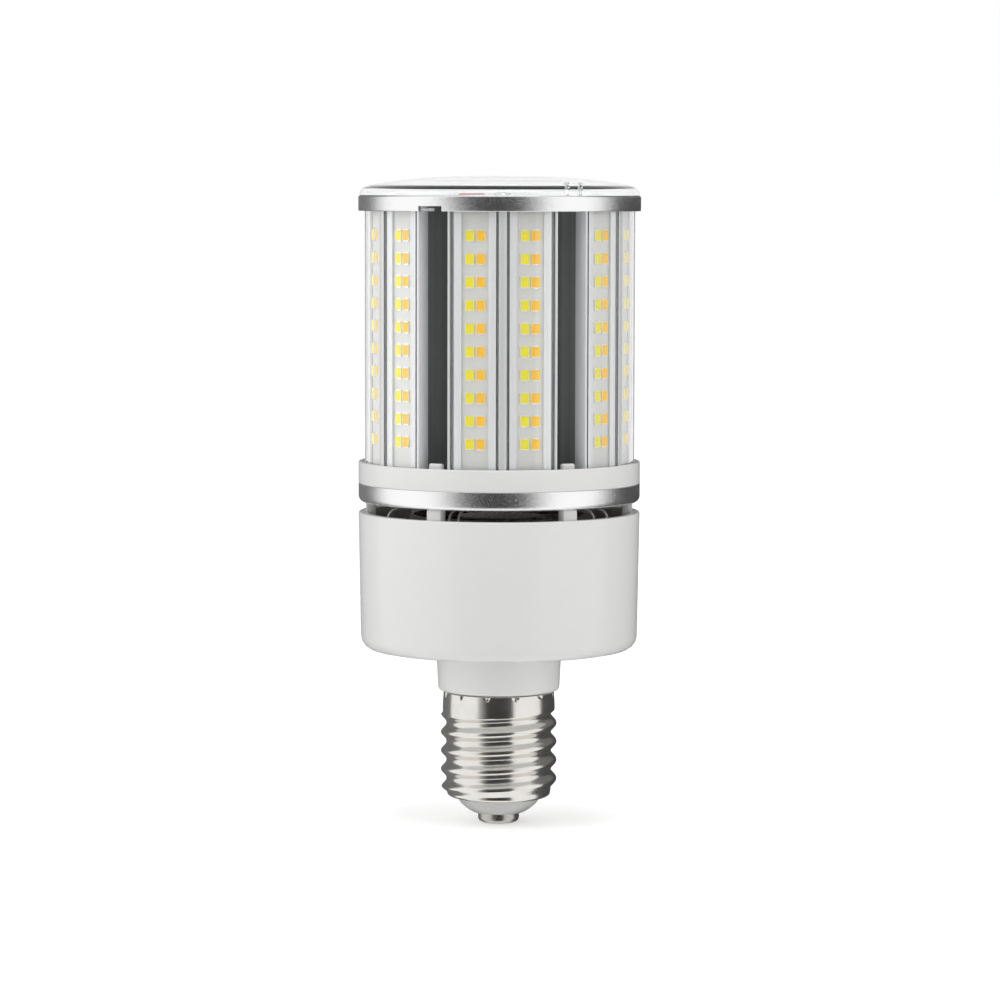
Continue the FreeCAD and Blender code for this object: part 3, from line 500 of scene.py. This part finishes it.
# %% Housing
HOUSING_TOP = 106.4
RING_LEVEL = span("lower_ring")[0].z
TRAY_LEVEL = span("fan_tray")[0].z
FLOOR_TOP = 62.5
POST_WIDTH = 5.4
POST_DEPTH = 3.6
POST_PLACE = -43.4
POST_ROOT = 2.2
PILLAR = 4.0
housing = turned([
    (47.7, HOUSING_TOP, 0.55), (46.85, 59.7, 4.4), (22.2, 59.7), (21.3, 59.3, 0.6), (20.6, 45.4, 1.1),
    (18.0, 45.4), (17.2, 45.8), (17.2, 31.8), (14.8, 31.8), (14.8, FLOOR_TOP), (44.6, FLOOR_TOP),
    (44.6, HOUSING_TOP, 0.5),
], 240)
post_height = RING_LEVEL - HOUSING_TOP + POST_ROOT
for turn in SLOT_TURNS:
    brick(housing, (0, POST_PLACE, RING_LEVEL - post_height / 2), (POST_WIDTH, POST_DEPTH, post_height), 0.5,
          turn)
for number in range(4):
    for reach, top in ((28.4, TRAY_LEVEL), (23.6, span("driver_board")[0].z)):
        height = top - FLOOR_TOP
        place = Vector((reach, reach, 0))
        place.rotate(about_axis(90 * number))
        brick(housing, (place.x, place.y, FLOOR_TOP + height / 2), (PILLAR, PILLAR, height), 0.3)
cup = keep(housing, "driver_housing", [white_gloss], ["housing"])
print("housing with", len(SLOT_TURNS), "posts,", len(cup.data.polygons), "faces")

# %% [markdown]
# Three turned rings hold the column: the blasted dish on the posts, the white ring with its tabs, and the
# blasted ring at the head, which has a pry notch cut in its skirt.

# %% Rings
BODY = span("top_ring")[1].x
BASE_LEVEL = span("lower_ring")[1].z
DISH_FLOOR = 111.6
dish = turned([
    (29.0, 109.8), (47.7, 109.8, 2.0), (47.7, BASE_LEVEL, 0.25), (46.1, BASE_LEVEL, 0.2), (46.1, DISH_FLOOR),
    (29.0, DISH_FLOOR),
], 240)
keep(dish, "foot_dish", [blasted], ["lower_ring"])

TAB_TOP = span("base_ring")[1].z - 0.8
band = turned([(46.1, BASE_LEVEL), (47.7, BASE_LEVEL, 0.3), (47.7, 123.5, 0.45), (46.1, 123.5, 0.3)], 240)
for turn in SLOT_TURNS:
    height = TAB_TOP - BASE_LEVEL
    brick(band, (0, -43.15, BASE_LEVEL + height / 2), (5.0, 2.1, height), 0.7, turn, 3)
    brick(band, (0, -44.3, BASE_LEVEL + 2.3), (5.0, 4.4, 4.6), 0.3, turn)
keep(band, "foot_band", [white_gloss], ["base_ring"])

RING_FOOT = span("top_ring")[0].z
RING_TOP = span("top_ring")[1].z
head = turned([
    (46.1, RING_FOOT, 0.2), (BODY, RING_FOOT, 0.35), (BODY, RING_TOP, 0.5), (42.2, RING_TOP, 0.35),
    (42.2, 211.6), (30.0, 211.6), (30.0, 210.4), (46.1, 210.4),
], 240)
head_ring = keep(head, "head_ring", [blasted], ["top_ring"])


def cut_out(piece, cutter_mesh):
    """Take a shape out of a piece with a Boolean modifier, and keep the result as plain mesh."""
    cutter = new_object("cutter", cutter_mesh)
    modifier = piece.modifiers.new("cut", "BOOLEAN")
    modifier.object = cutter
    modifier.solver = "EXACT"
    bpy.context.view_layer.update()
    shape = piece.evaluated_get(bpy.context.evaluated_depsgraph_get())
    result = bpy.data.meshes.new_from_object(shape)
    piece.modifiers.clear()
    old = piece.data
    piece.data = result
    bpy.data.meshes.remove(old)
    bpy.data.objects.remove(cutter)


NOTCH_TURN = -28.7
notch = bmesh.new()
brick(notch, (0, -47, RING_FOOT), (8.7, 6, 3.5), 0.25, NOTCH_TURN)
cut_out(head_ring, plain_mesh(notch, "notch", MM))
tongue = bmesh.new()
brick(tongue, (-1.5, -46.3, RING_FOOT + 0.62), (5.3, 1.0, 1.1), 0.35, NOTCH_TURN, 3)
# The tongue takes the darker colour of painted shade, as it lies set back in the notch.
keep(tongue, "pry_tongue", [inside_painted_shade], ())
print("rings turned; the head ring has", len(head_ring.data.polygons), "faces after its notch")

# %% [markdown]
# The six heat-sink segments are extrusions with thin lips and rails. Their measured outline is already right,
# so a copy is taken, its loose triangles are joined, flat parts are merged, and each long edge gets the small
# rounding that catches the light.

# %% Heat-sink segments
EDGE_ROUNDING = 0.13
INSIDE_REACH = 42.6
FLAT = math.radians(1)
GROOVE_INNER = 7.0
GROOVE_OUTER = 8.1
GROOVE_PIT = 42.87
SLOT_HALF = 5.46
NEAR = 0.2
OUTSIDE, INSIDE, GROOVE, SLOT_WALL = range(4)


def merged_copy(node):
    """A measured piece as one joined mesh with its flat parts merged, in millimetres."""
    bm = bmesh.new()
    bm.from_mesh(nodes[node].data)
    bmesh.ops.scale(bm, vec=(1 / MM, 1 / MM, 1 / MM), verts=bm.verts[:])
    bmesh.ops.remove_doubles(bm, verts=bm.verts[:], dist=0.001)
    bmesh.ops.dissolve_limit(bm, angle_limit=FLAT, verts=bm.verts[:], edges=bm.edges[:],
                             use_dissolve_boundaries=False)
    return bm


def seen_along(vert, turn):
    """A point's place across and out from the lamp's axis, for someone who looks at it from one side."""
    angle = math.radians(turn)
    return (vert.co.x * math.cos(angle) + vert.co.y * math.sin(angle),
            vert.co.x * math.sin(angle) - vert.co.y * math.cos(angle))


def zone_of(face, middle):
    """Which finish a face of a segment gets, told from where it lies in the extrusion; the groove and inside
    finishes carry painted shade.
    """
    for turn in (middle - PANEL_TURN, middle + PANEL_TURN):
        places = [seen_along(vert, turn) for vert in face.verts]
        if (all(GROOVE_INNER - NEAR < abs(across) < GROOVE_OUTER + NEAR for across, out in places)
                and min(out for across, out in places) < GROOVE_PIT + NEAR):
            return GROOVE
    for turn in (middle - SLOT_TURN, middle + SLOT_TURN):
        if all(abs(abs(seen_along(vert, turn)[0]) - SLOT_HALF) < 0.16 for vert in face.verts):
            return SLOT_WALL
    reach = max(math.hypot(vert.co.x, vert.co.y) for vert in face.verts)
    return INSIDE if reach < INSIDE_REACH else OUTSIDE


for number in range(1, 7):
    node = "heat_sink_%d" % number
    segment = merged_copy(node)
    upright = [edge for edge in segment.edges
               if abs((edge.verts[0].co - edge.verts[1].co).normalized().z) > 0.99
               and edge.calc_face_angle(0) > HARD_EDGE]
    bmesh.ops.bevel(segment, geom=upright, offset=EDGE_ROUNDING, segments=2, profile=0.5, affect="EDGES",
                    material=-1, clamp_overlap=True)
    heart = segment.verts[:]
    middle = math.degrees(math.atan2(sum(vert.co.x for vert in heart), -sum(vert.co.y for vert in heart)))
    for face in segment.faces:
        face.material_index = zone_of(face, middle)
    zones = [sum(face.material_index == zone for face in segment.faces) for zone in range(4)]
    keep(segment, "segment_%d" % number, [extruded, inside_painted_shade, groove_painted_shade, slot_metal], [node],
         outward=False)
    print("segment at", round(middle, 1), "degrees; faces outside, inside, in grooves, on slot walls:", zones)

# %% [markdown]
# Each board carries ten pairs of light packages, yellow on the left and orange on the right. A package is a
# white frame round a sunk window of phosphor, with a solder terminal at each end. One board is modelled at
# the front and copied to the twelve flats.

# %% Lighting boards
CHANNEL_FLOOR = 42.4
BOARD_FACE = CHANNEL_FLOOR + 1.0
BOARD_FOOT = 120.4
BOARD_TOP = 210.3
LED_SIZE = Vector((2.95, 3.5))
LED_RISE = 0.7
LED_COLUMNS = (-1.83, 1.83)
LED_FIRST = 131.8
LED_STEP = 7.58
LED_ROWS = 10
BODY_SLOT, YELLOW, ORANGE, METAL = range(1, 5)
board_finishes = [mask_white, package_white, yellow_fill, orange_fill, solder]
PANEL_TURNS = [SEGMENT_ANGLE * (number // 2) + COLUMN_TURN + (PANEL_TURN if number % 2 else -PANEL_TURN)
               for number in range(12)]


def light_package(bm, width, height, fill):
    """A package lying on its back at the origin: +Z is the way it shines."""
    made = bmesh.ops.create_cube(bm, size=1)["verts"]
    bmesh.ops.scale(bm, vec=(width, height, LED_RISE), verts=made)
    bmesh.ops.translate(bm, vec=(0, 0, LED_RISE / 2), verts=made)
    faces = list({face for vert in made for face in vert.link_faces})
    top = next(face for face in faces if face.normal.z > 0.9)
    base = next(face for face in faces if face.normal.z < -0.9)
    for face in faces:
        face.material_index = BODY_SLOT
    bmesh.ops.inset_region(bm, faces=[top], thickness=0.11, depth=0)
    bmesh.ops.inset_region(bm, faces=[top], thickness=0.05, depth=-0.08)
    top.material_index = fill
    bmesh.ops.delete(bm, geom=[base], context="FACES_ONLY")
    for end in (-1, 1):
        pad = bmesh.ops.create_cube(bm, size=1)["verts"]
        bmesh.ops.scale(bm, vec=(width * 0.62, 0.5, 0.22), verts=pad)
        bmesh.ops.translate(bm, vec=(0, end * (height / 2 + 0.12), 0.11), verts=pad)
        for face in {face for vert in pad for face in vert.link_faces}:
            face.material_index = METAL


def copied(bm, source, matrix):
    """Add a copy of a mesh, moved by a matrix."""
    shape = source.copy()
    shape.transform(matrix)
    bm.from_mesh(shape)
    bpy.data.meshes.remove(shape)


def package_mesh(fill):
    bm = bmesh.new()
    light_package(bm, LED_SIZE.x, LED_SIZE.y, fill)
    return plain_mesh(bm, "package")


packages = {fill: package_mesh(fill) for fill in (YELLOW, ORANGE)}
STAND_UP = Matrix.Rotation(math.radians(90), 4, "X")
for number, turn in enumerate(PANEL_TURNS, start=1):
    board = bmesh.new()
    brick(board, (0, -(CHANNEL_FLOOR + BOARD_FACE) / 2, (BOARD_FOOT + BOARD_TOP) / 2),
          (12.0, BOARD_FACE - CHANNEL_FLOOR, BOARD_TOP - BOARD_FOOT), 0.08, 0, 1)
    for column, fill in zip(LED_COLUMNS, (YELLOW, ORANGE)):
        for row in range(LED_ROWS):
            place = Matrix.Translation((column, -BOARD_FACE, LED_FIRST + LED_STEP * row))
            copied(board, packages[fill], place @ STAND_UP)
    bmesh.ops.rotate(board, cent=(0, 0, 0), matrix=about_axis(turn), verts=board.verts[:])
    keep(board, "light_board_%02d" % number, board_finishes, ["led_board_%02d" % number],
         outward=False)
print("twelve boards,", LED_ROWS * 2 * 12, "packages")

# %% [markdown]
# A clear strip snaps over each board: a thin shallow arc with a leg down each long side. Its outline is a
# short open line, pushed up along the lamp, and the solidify operator gives the sheet its wall.

# %% Cover strips
COVER_EDGE = 7.85
COVER_INSIDE = 44.45
COVER_SIDE = 44.95
COVER_SAG = 0.85
COVER_WALL = 0.6
COVER_LEG = 1.1
ARC_STEPS = 14
COVER_FOOT = span("cover_strip_01")[0].z
COVER_TOP = span("cover_strip_01")[1].z


def cover_strip(turn):
    """The strip as an open line: leg, shallow arc, leg. It is drawn out upwards and then given its wall."""
    bm = bmesh.new()
    points = [(-COVER_EDGE, COVER_INSIDE - COVER_LEG)]
    for step in range(ARC_STEPS + 1):
        across = -1 + 2 * step / ARC_STEPS
        points.append((across * COVER_EDGE, COVER_SIDE + COVER_SAG * (1 - across * across)))
    points.append((COVER_EDGE, COVER_INSIDE - COVER_LEG))
    corners = [bm.verts.new((across, -out, COVER_FOOT)) for across, out in points]
    for start, end in zip(corners, corners[1:]):
        bm.edges.new((start, end))
    made = bmesh.ops.extrude_edge_only(bm, edges=bm.edges[:])["geom"]
    bmesh.ops.translate(bm, vec=(0, 0, COVER_TOP - COVER_FOOT),
                        verts=[item for item in made if isinstance(item, bmesh.types.BMVert)])
    bmesh.ops.recalc_face_normals(bm, faces=bm.faces[:])
    middle = max(bm.faces, key=lambda face: -face.calc_center_median().y)
    if middle.normal.y > 0:
        bmesh.ops.reverse_faces(bm, faces=bm.faces[:])
    bmesh.ops.solidify(bm, geom=bm.faces[:], thickness=COVER_WALL)
    bmesh.ops.rotate(bm, cent=(0, 0, 0), matrix=about_axis(turn), verts=bm.verts[:])
    return bm


for number, turn in enumerate(PANEL_TURNS, start=1):
    keep(cover_strip(turn), "clear_strip_%02d" % number, [clear], ["cover_strip_%02d" % number])
print("twelve cover strips from", round(COVER_FOOT, 1), "to", round(COVER_TOP, 1))

# %% [markdown]
# The round board under the lid carries a ring of the same packages, three screws and the two leads that come
# up through the column. All of it shows through the clear lid from above.

# %% Top board
DISC_LEVEL = span("top_board")[0].z
DISC_TOP = DISC_LEVEL + 1.0
DISC_EDGE = 41.9
TOP_PACKAGES = 12
PACKAGE_RADIUS = 26
top_board = turned([(0, DISC_LEVEL), (DISC_EDGE, DISC_LEVEL, 0.1), (DISC_EDGE, DISC_TOP, 0.1), (0, DISC_TOP)],
                   180, closed=False)
for number in range(TOP_PACKAGES):
    turn = about_axis(COLUMN_TURN + 360 // TOP_PACKAGES * number, 4)
    copied(top_board, packages[ORANGE if number % 2 else YELLOW],
           turn @ Matrix.Translation((0, -PACKAGE_RADIUS, DISC_TOP)))
keep(top_board, "top_light_board", board_finishes, ["top_board"], outward=False)


def pan_screw():
    """A pan head with a cross recess, its seat at the origin."""
    bm = turned([(0, 1.9), (1.6, 1.8, 0.4), (2.75, 1.1, 0.5), (2.75, 0.0), (0, 0.0)], 32, closed=False)
    cross = bmesh.new()
    for turn in (45, 135):
        brick(cross, (0, 0, 1.8), (2.6, 0.5, 1.6), 0.06, turn, 1)
    holder = new_object("screw_blank", plain_mesh(bm, "screw", MM))
    cut_out(holder, plain_mesh(cross, "cross", MM))
    cut_mesh = holder.data
    bpy.data.objects.remove(holder)
    return cut_mesh


screw_mesh = pan_screw()
SCREW_RADIUS = 38.7
for label, level, flip in (("top_screws", DISC_TOP, 0), ("column_screws", DISH_FLOOR, 180)):
    group = bmesh.new()
    for turn in SCREW_TURNS:
        place = about_axis(turn, 4) @ Matrix.Translation((0, -SCREW_RADIUS, level))
        flipped = place @ Matrix.Rotation(math.radians(flip), 4, "X")
        copied(group, screw_mesh, flipped @ Matrix.Scale(1 / MM, 4))
    keep(group, label, [steel], ())
print("top board with", TOP_PACKAGES, "packages, and two sets of", len(SCREW_TURNS), "screws")

# %% [markdown]
# The lid is a shallow clear bowl turned upside down, 1.5 mm thick all over: with inner and outer faces
# parallel, the eye looks straight through its slopes. One snap hook shows on its rim, at the front right.

# %% Clear lid
LID_FOOT = RING_TOP
lid = turned([
    (0, 218.3), (21.9, 218.0, 7.0), (39.7, 216.1, 4.0), (45.6, 214.45, 0.9), (45.8, LID_FOOT),
    (47.4, LID_FOOT, 0.3), (47.3, 215.6, 2.2), (40.0, 217.6, 4.0), (22.0, 219.5, 7.0), (0, 219.8),
], 240, closed=False)
for side in (-1, 1):
    brick(lid, (2.5 * side, -46.0, LID_FOOT + 2.1), (1.2, 2.4, 4.6), 0.3, SLOT_TURNS[0])
brick(lid, (0, -45.8, LID_FOOT + 3.9), (5.6, 2.0, 1.0), 0.3, SLOT_TURNS[0])
keep(lid, "clear_lid", [clear], ["dome_cover"])
print("lid with its outer hook")


# %% [markdown]
# Seven short insulated leads: a red and a white one lie on the top board, and five white ones rise beside the
# fan, cross the vent gap and turn into the column. Each is a smooth curve that is made into a mesh.

# %% Leads
def lead(name, points, thickness, finish):
    """A short insulated lead: a smooth curve with a round section, made into a mesh."""
    data = bpy.data.curves.new(name, "CURVE")
    data.dimensions = "3D"
    data.bevel_depth = thickness / 2 * MM
    data.bevel_resolution = 3
    data.use_fill_caps = True
    spline = data.splines.new("NURBS")
    spline.points.add(len(points) - 1)
    for point, place in zip(spline.points, points):
        point.co = (place[0] * MM, place[1] * MM, place[2] * MM, 1)
    spline.order_u = 3
    spline.use_endpoint_u = True
    holder = new_object(name + "_line", data)
    bpy.context.view_layer.update()
    mesh = bpy.data.meshes.new_from_object(holder.evaluated_get(bpy.context.evaluated_depsgraph_get()))
    bpy.data.objects.remove(holder)
    piece = new_object(name, mesh)
    mesh.materials.clear()
    mesh.materials.append(finish)
    for face in mesh.polygons:
        face.use_smooth = True
    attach(piece, "lamp")
    return piece


lead("red_board_lead", [(-4, 3, DISC_TOP - 1), (-4.5, 2, DISC_TOP + 1.4), (-8, -12, DISC_TOP + 1.4),
                        (-10, -26, DISC_TOP + 0.9), (-12.5, -30, DISC_TOP + 0.9), (-15.7, -30.5, DISC_TOP)],
     1.1, red_lead)
lead("white_board_lead", [(4, 3, DISC_TOP - 1), (4.5, 6, DISC_TOP + 1.4), (2, 16, DISC_TOP + 1.5),
                          (-3, 27, DISC_TOP + 0.9), (-6, 30, DISC_TOP + 0.9), (-9, 30.5, DISC_TOP)],
     1.1, white_lead)
GAP_LEADS = [(-37, -20), (-16.5, -34), (-13.5, -35), (31.5, -24), (36, -19)]
for number, (x, y) in enumerate(GAP_LEADS, start=1):
    inward = Vector((x, y)).normalized() * 26
    rise = [(x, y, 90), (x * 1.02, y * 1.02, 101), (x, y, 107.6), (x * 0.9, y * 0.9, 108.9)]
    bend = [(inward.x, inward.y, 110.5), (inward.x * 0.9, inward.y * 0.9, 118)]
    lead("column_lead_%d" % number, rise + bend, 0.8, white_lead)
print("two leads on the top board and", len(GAP_LEADS), "beside the fan")

# %% [markdown]
# The fan, its tray and the driver stay as they were measured: they sit deep inside and hardly show through
# the vent gap and the slots. They get finishes of their own.

# %% Inner parts
inner = {"fan_frame": dark_plastic, "fan_rotor": dark_plastic, "fan_shaft": steel, "fan_tray": white_gloss,
         "driver_board": green_mask, "transformer": ferrite, "storage_capacitors": sleeve}
for node, finish in inner.items():
    target = nodes[node]
    if not target.material_slots:
        target.data.materials.append(finish)
    for slot in target.material_slots:
        slot.material = finish
print("finished in place:", ", ".join(inner))

# %% [markdown]
# The lamp stands on a plain pale floor in a white studio. The floor gives a little light of its own, which
# only the camera, mirrors and clear plastic see, so that it stays as pale as the world behind it.

# %% Floor and world
FLOOR_DROP = 0.0003
NEAR_GROUND = 0.22
FAR_GROUND = 1.3
floor_mesh = bmesh.new()
bmesh.ops.create_grid(floor_mesh, x_segments=1, y_segments=1, size=60)
floor_data = plain_mesh(floor_mesh, "floor")
floor = new_object("floor", floor_data)
floor.location = (0, 0, -FLOOR_DROP)
floor.visible_glossy = False


def backdrop_material(name, near_light, far_light, colour):
    """Pale matt ground; the extra light is seen by the camera, by mirrors and through glass only.

    The studio lights reach only the middle of the floor, so the extra light rises with the distance from it.
    """
    made = bpy.data.materials.new(name)
    made.use_nodes = True
    tree = made.node_tree
    tree.nodes.remove(tree.nodes["Principled BSDF"])
    matt = tree.nodes.new("ShaderNodeBsdfDiffuse")
    matt.inputs["Color"].default_value = colour
    glow = tree.nodes.new("ShaderNodeEmission")
    place = tree.nodes.new("ShaderNodeTexCoord")
    reach = tree.nodes.new("ShaderNodeVectorMath")
    reach.operation = "LENGTH"
    tree.links.new(place.outputs["Object"], reach.inputs[0])
    spread = tree.nodes.new("ShaderNodeMapRange")
    spread.interpolation_type = "SMOOTHSTEP"
    for title, value in (("From Min", NEAR_GROUND), ("From Max", FAR_GROUND), ("To Min", near_light),
                         ("To Max", far_light)):
        spread.inputs[title].default_value = value
    tree.links.new(reach.outputs["Value"], spread.inputs["Value"])
    strength = math_node(tree, "MULTIPLY", seen(tree, 1.0, 0.0), spread.outputs["Result"])
    tree.links.new(strength, glow.inputs["Strength"])
    both = tree.nodes.new("ShaderNodeAddShader")
    tree.links.new(matt.outputs[0], both.inputs[0])
    tree.links.new(glow.outputs[0], both.inputs[1])
    tree.links.new(both.outputs[0], tree.nodes["Material Output"].inputs["Surface"])
    return made


def seen(tree, strong, weak):
    """One strength for camera, glossy and transmission rays, and a weaker one for the rest."""
    path = tree.nodes.new("ShaderNodeLightPath")
    total = math_node(tree, "ADD", path.outputs["Is Camera Ray"], path.outputs["Is Glossy Ray"])
    total = math_node(tree, "ADD", total, path.outputs["Is Transmission Ray"])
    total = math_node(tree, "MINIMUM", total, 1.0)
    scaled = math_node(tree, "MULTIPLY", total, strong - weak)
    return math_node(tree, "ADD", scaled, weak)


floor_data.materials.append(backdrop_material("pale_floor", 0.36, 0.58, rgb(0.95, 0.95, 0.95)))
world = bpy.data.worlds.new("studio")
world.use_nodes = True
sky = world.node_tree.nodes["Background"]
sky.inputs["Color"].default_value = rgb(1, 1, 1)
world.node_tree.links.new(seen(world.node_tree, 1.0, 0.50), sky.inputs["Strength"])
bpy.context.scene.world = world
print("floor and world", floor.name, world.name)


# %% [markdown]
# Two large soft lights stand left and right and one hangs above. Bright metal shows whatever stands round it:
# mirrors see the white studio instead of the lamps, so no highlight burns out. Cards that only satin
# reflections can see hang in front and behind. They give the cap and the rings their dark bands without
# dimming the lamp or its clear lid.

# %% Lights and reflection cards
AIM = Vector((0, 0, 0.11))


def soft_light(name, turn, distance, level, width, height, power):
    """A large soft lamp at a turn, distance and level, aimed at the middle of the part."""
    data = bpy.data.lights.new(name, "AREA")
    data.shape = "RECTANGLE"
    data.size = width
    data.size_y = height
    data.energy = power
    light = new_object(name, data)
    angle = math.radians(turn)
    light.location = (distance * math.sin(angle), -distance * math.cos(angle), level)
    light.rotation_euler = (AIM - light.location).to_track_quat("-Z", "Y").to_euler()
    light.visible_glossy = False


soft_light("left_light", -78, 1.3, 0.35, 1.5, 2.3, 12)
soft_light("right_light", 59, 1.3, 0.35, 1.4, 2.2, 7.3)
soft_light("top_light", 10, 0.35, 1.5, 0.9, 0.9, 6)


HEAD_LOW = 0.26
HEAD_HIGH = 0.40


def card_material(name, start, end, dark, light, upper, clear_level):
    """A card that glows a little, more at its left end, with a level of its own above the lamp's head.

    Polished clear plastic reflects without any spread, and such a ray sees the card's clear level instead.
    """
    made = bpy.data.materials.new(name)
    made.use_nodes = True
    tree = made.node_tree
    tree.nodes.remove(tree.nodes["Principled BSDF"])
    place = tree.nodes.new("ShaderNodeTexCoord")
    parts = tree.nodes.new("ShaderNodeSeparateXYZ")
    tree.links.new(place.outputs["Object"], parts.inputs[0])
    ahead = math_node(tree, "MULTIPLY", parts.outputs["Y"], -1.0)
    turn = math_node(tree, "ARCTAN2", parts.outputs["X"], ahead)
    spread = tree.nodes.new("ShaderNodeMapRange")
    spread.interpolation_type = "SMOOTHSTEP"
    for title, value in (("From Min", math.radians(start)), ("From Max", math.radians(end)),
                         ("To Min", light), ("To Max", dark)):
        spread.inputs[title].default_value = value
    tree.links.new(turn, spread.inputs["Value"])
    rise = tree.nodes.new("ShaderNodeMapRange")
    rise.interpolation_type = "SMOOTHSTEP"
    for title, value in (("From Min", HEAD_LOW), ("From Max", HEAD_HIGH), ("To Min", 0.0), ("To Max", 1.0)):
        rise.inputs[title].default_value = value
    tree.links.new(parts.outputs["Z"], rise.inputs["Value"])
    gap = math_node(tree, "SUBTRACT", upper, spread.outputs["Result"])
    level = math_node(tree, "ADD", spread.outputs["Result"],
                      math_node(tree, "MULTIPLY", gap, rise.outputs["Result"]))
    path = tree.nodes.new("ShaderNodeLightPath")
    gap = math_node(tree, "SUBTRACT", clear_level, level)
    level = math_node(tree, "ADD", level, math_node(tree, "MULTIPLY", gap, path.outputs["Is Singular Ray"]))
    glow = tree.nodes.new("ShaderNodeEmission")
    tree.links.new(level, glow.inputs["Strength"])
    tree.links.new(glow.outputs[0], tree.nodes["Material Output"].inputs["Surface"])
    return made


card_finishes = {"front_card": card_material("front_card", -42, -22, 0.05, 0.45, 0.08, 0.25),
                 "back_card": card_material("back_card", -110, 95, 0.07, 0.17, 0.16, 1.0)}
CARD_RADIUS = 1.05
CARD_FOOT = -1.2
CARD_TOP = 1.6
for label, start, end in (("front_card", -42, 30), ("back_card", 95, 245)):
    bm = bmesh.new()
    angle = math.radians(start)
    foot = bm.verts.new((CARD_RADIUS * math.sin(angle), -CARD_RADIUS * math.cos(angle), CARD_FOOT))
    head_vert = bm.verts.new((foot.co.x, foot.co.y, CARD_TOP))
    bm.edges.new((foot, head_vert))
    bmesh.ops.spin(bm, geom=bm.verts[:] + bm.edges[:], cent=(0, 0, 0), axis=AXIS,
                   angle=math.radians(end - start), steps=32)
    mesh = plain_mesh(bm, label)
    mesh.materials.append(card_finishes[label])
    card = new_object(label, mesh)
    card.visible_camera = False
    card.visible_diffuse = False
    card.visible_transmission = False
    card.visible_shadow = False
    card.visible_volume_scatter = False
print("three lights and", len(card_finishes), "reflection cards")
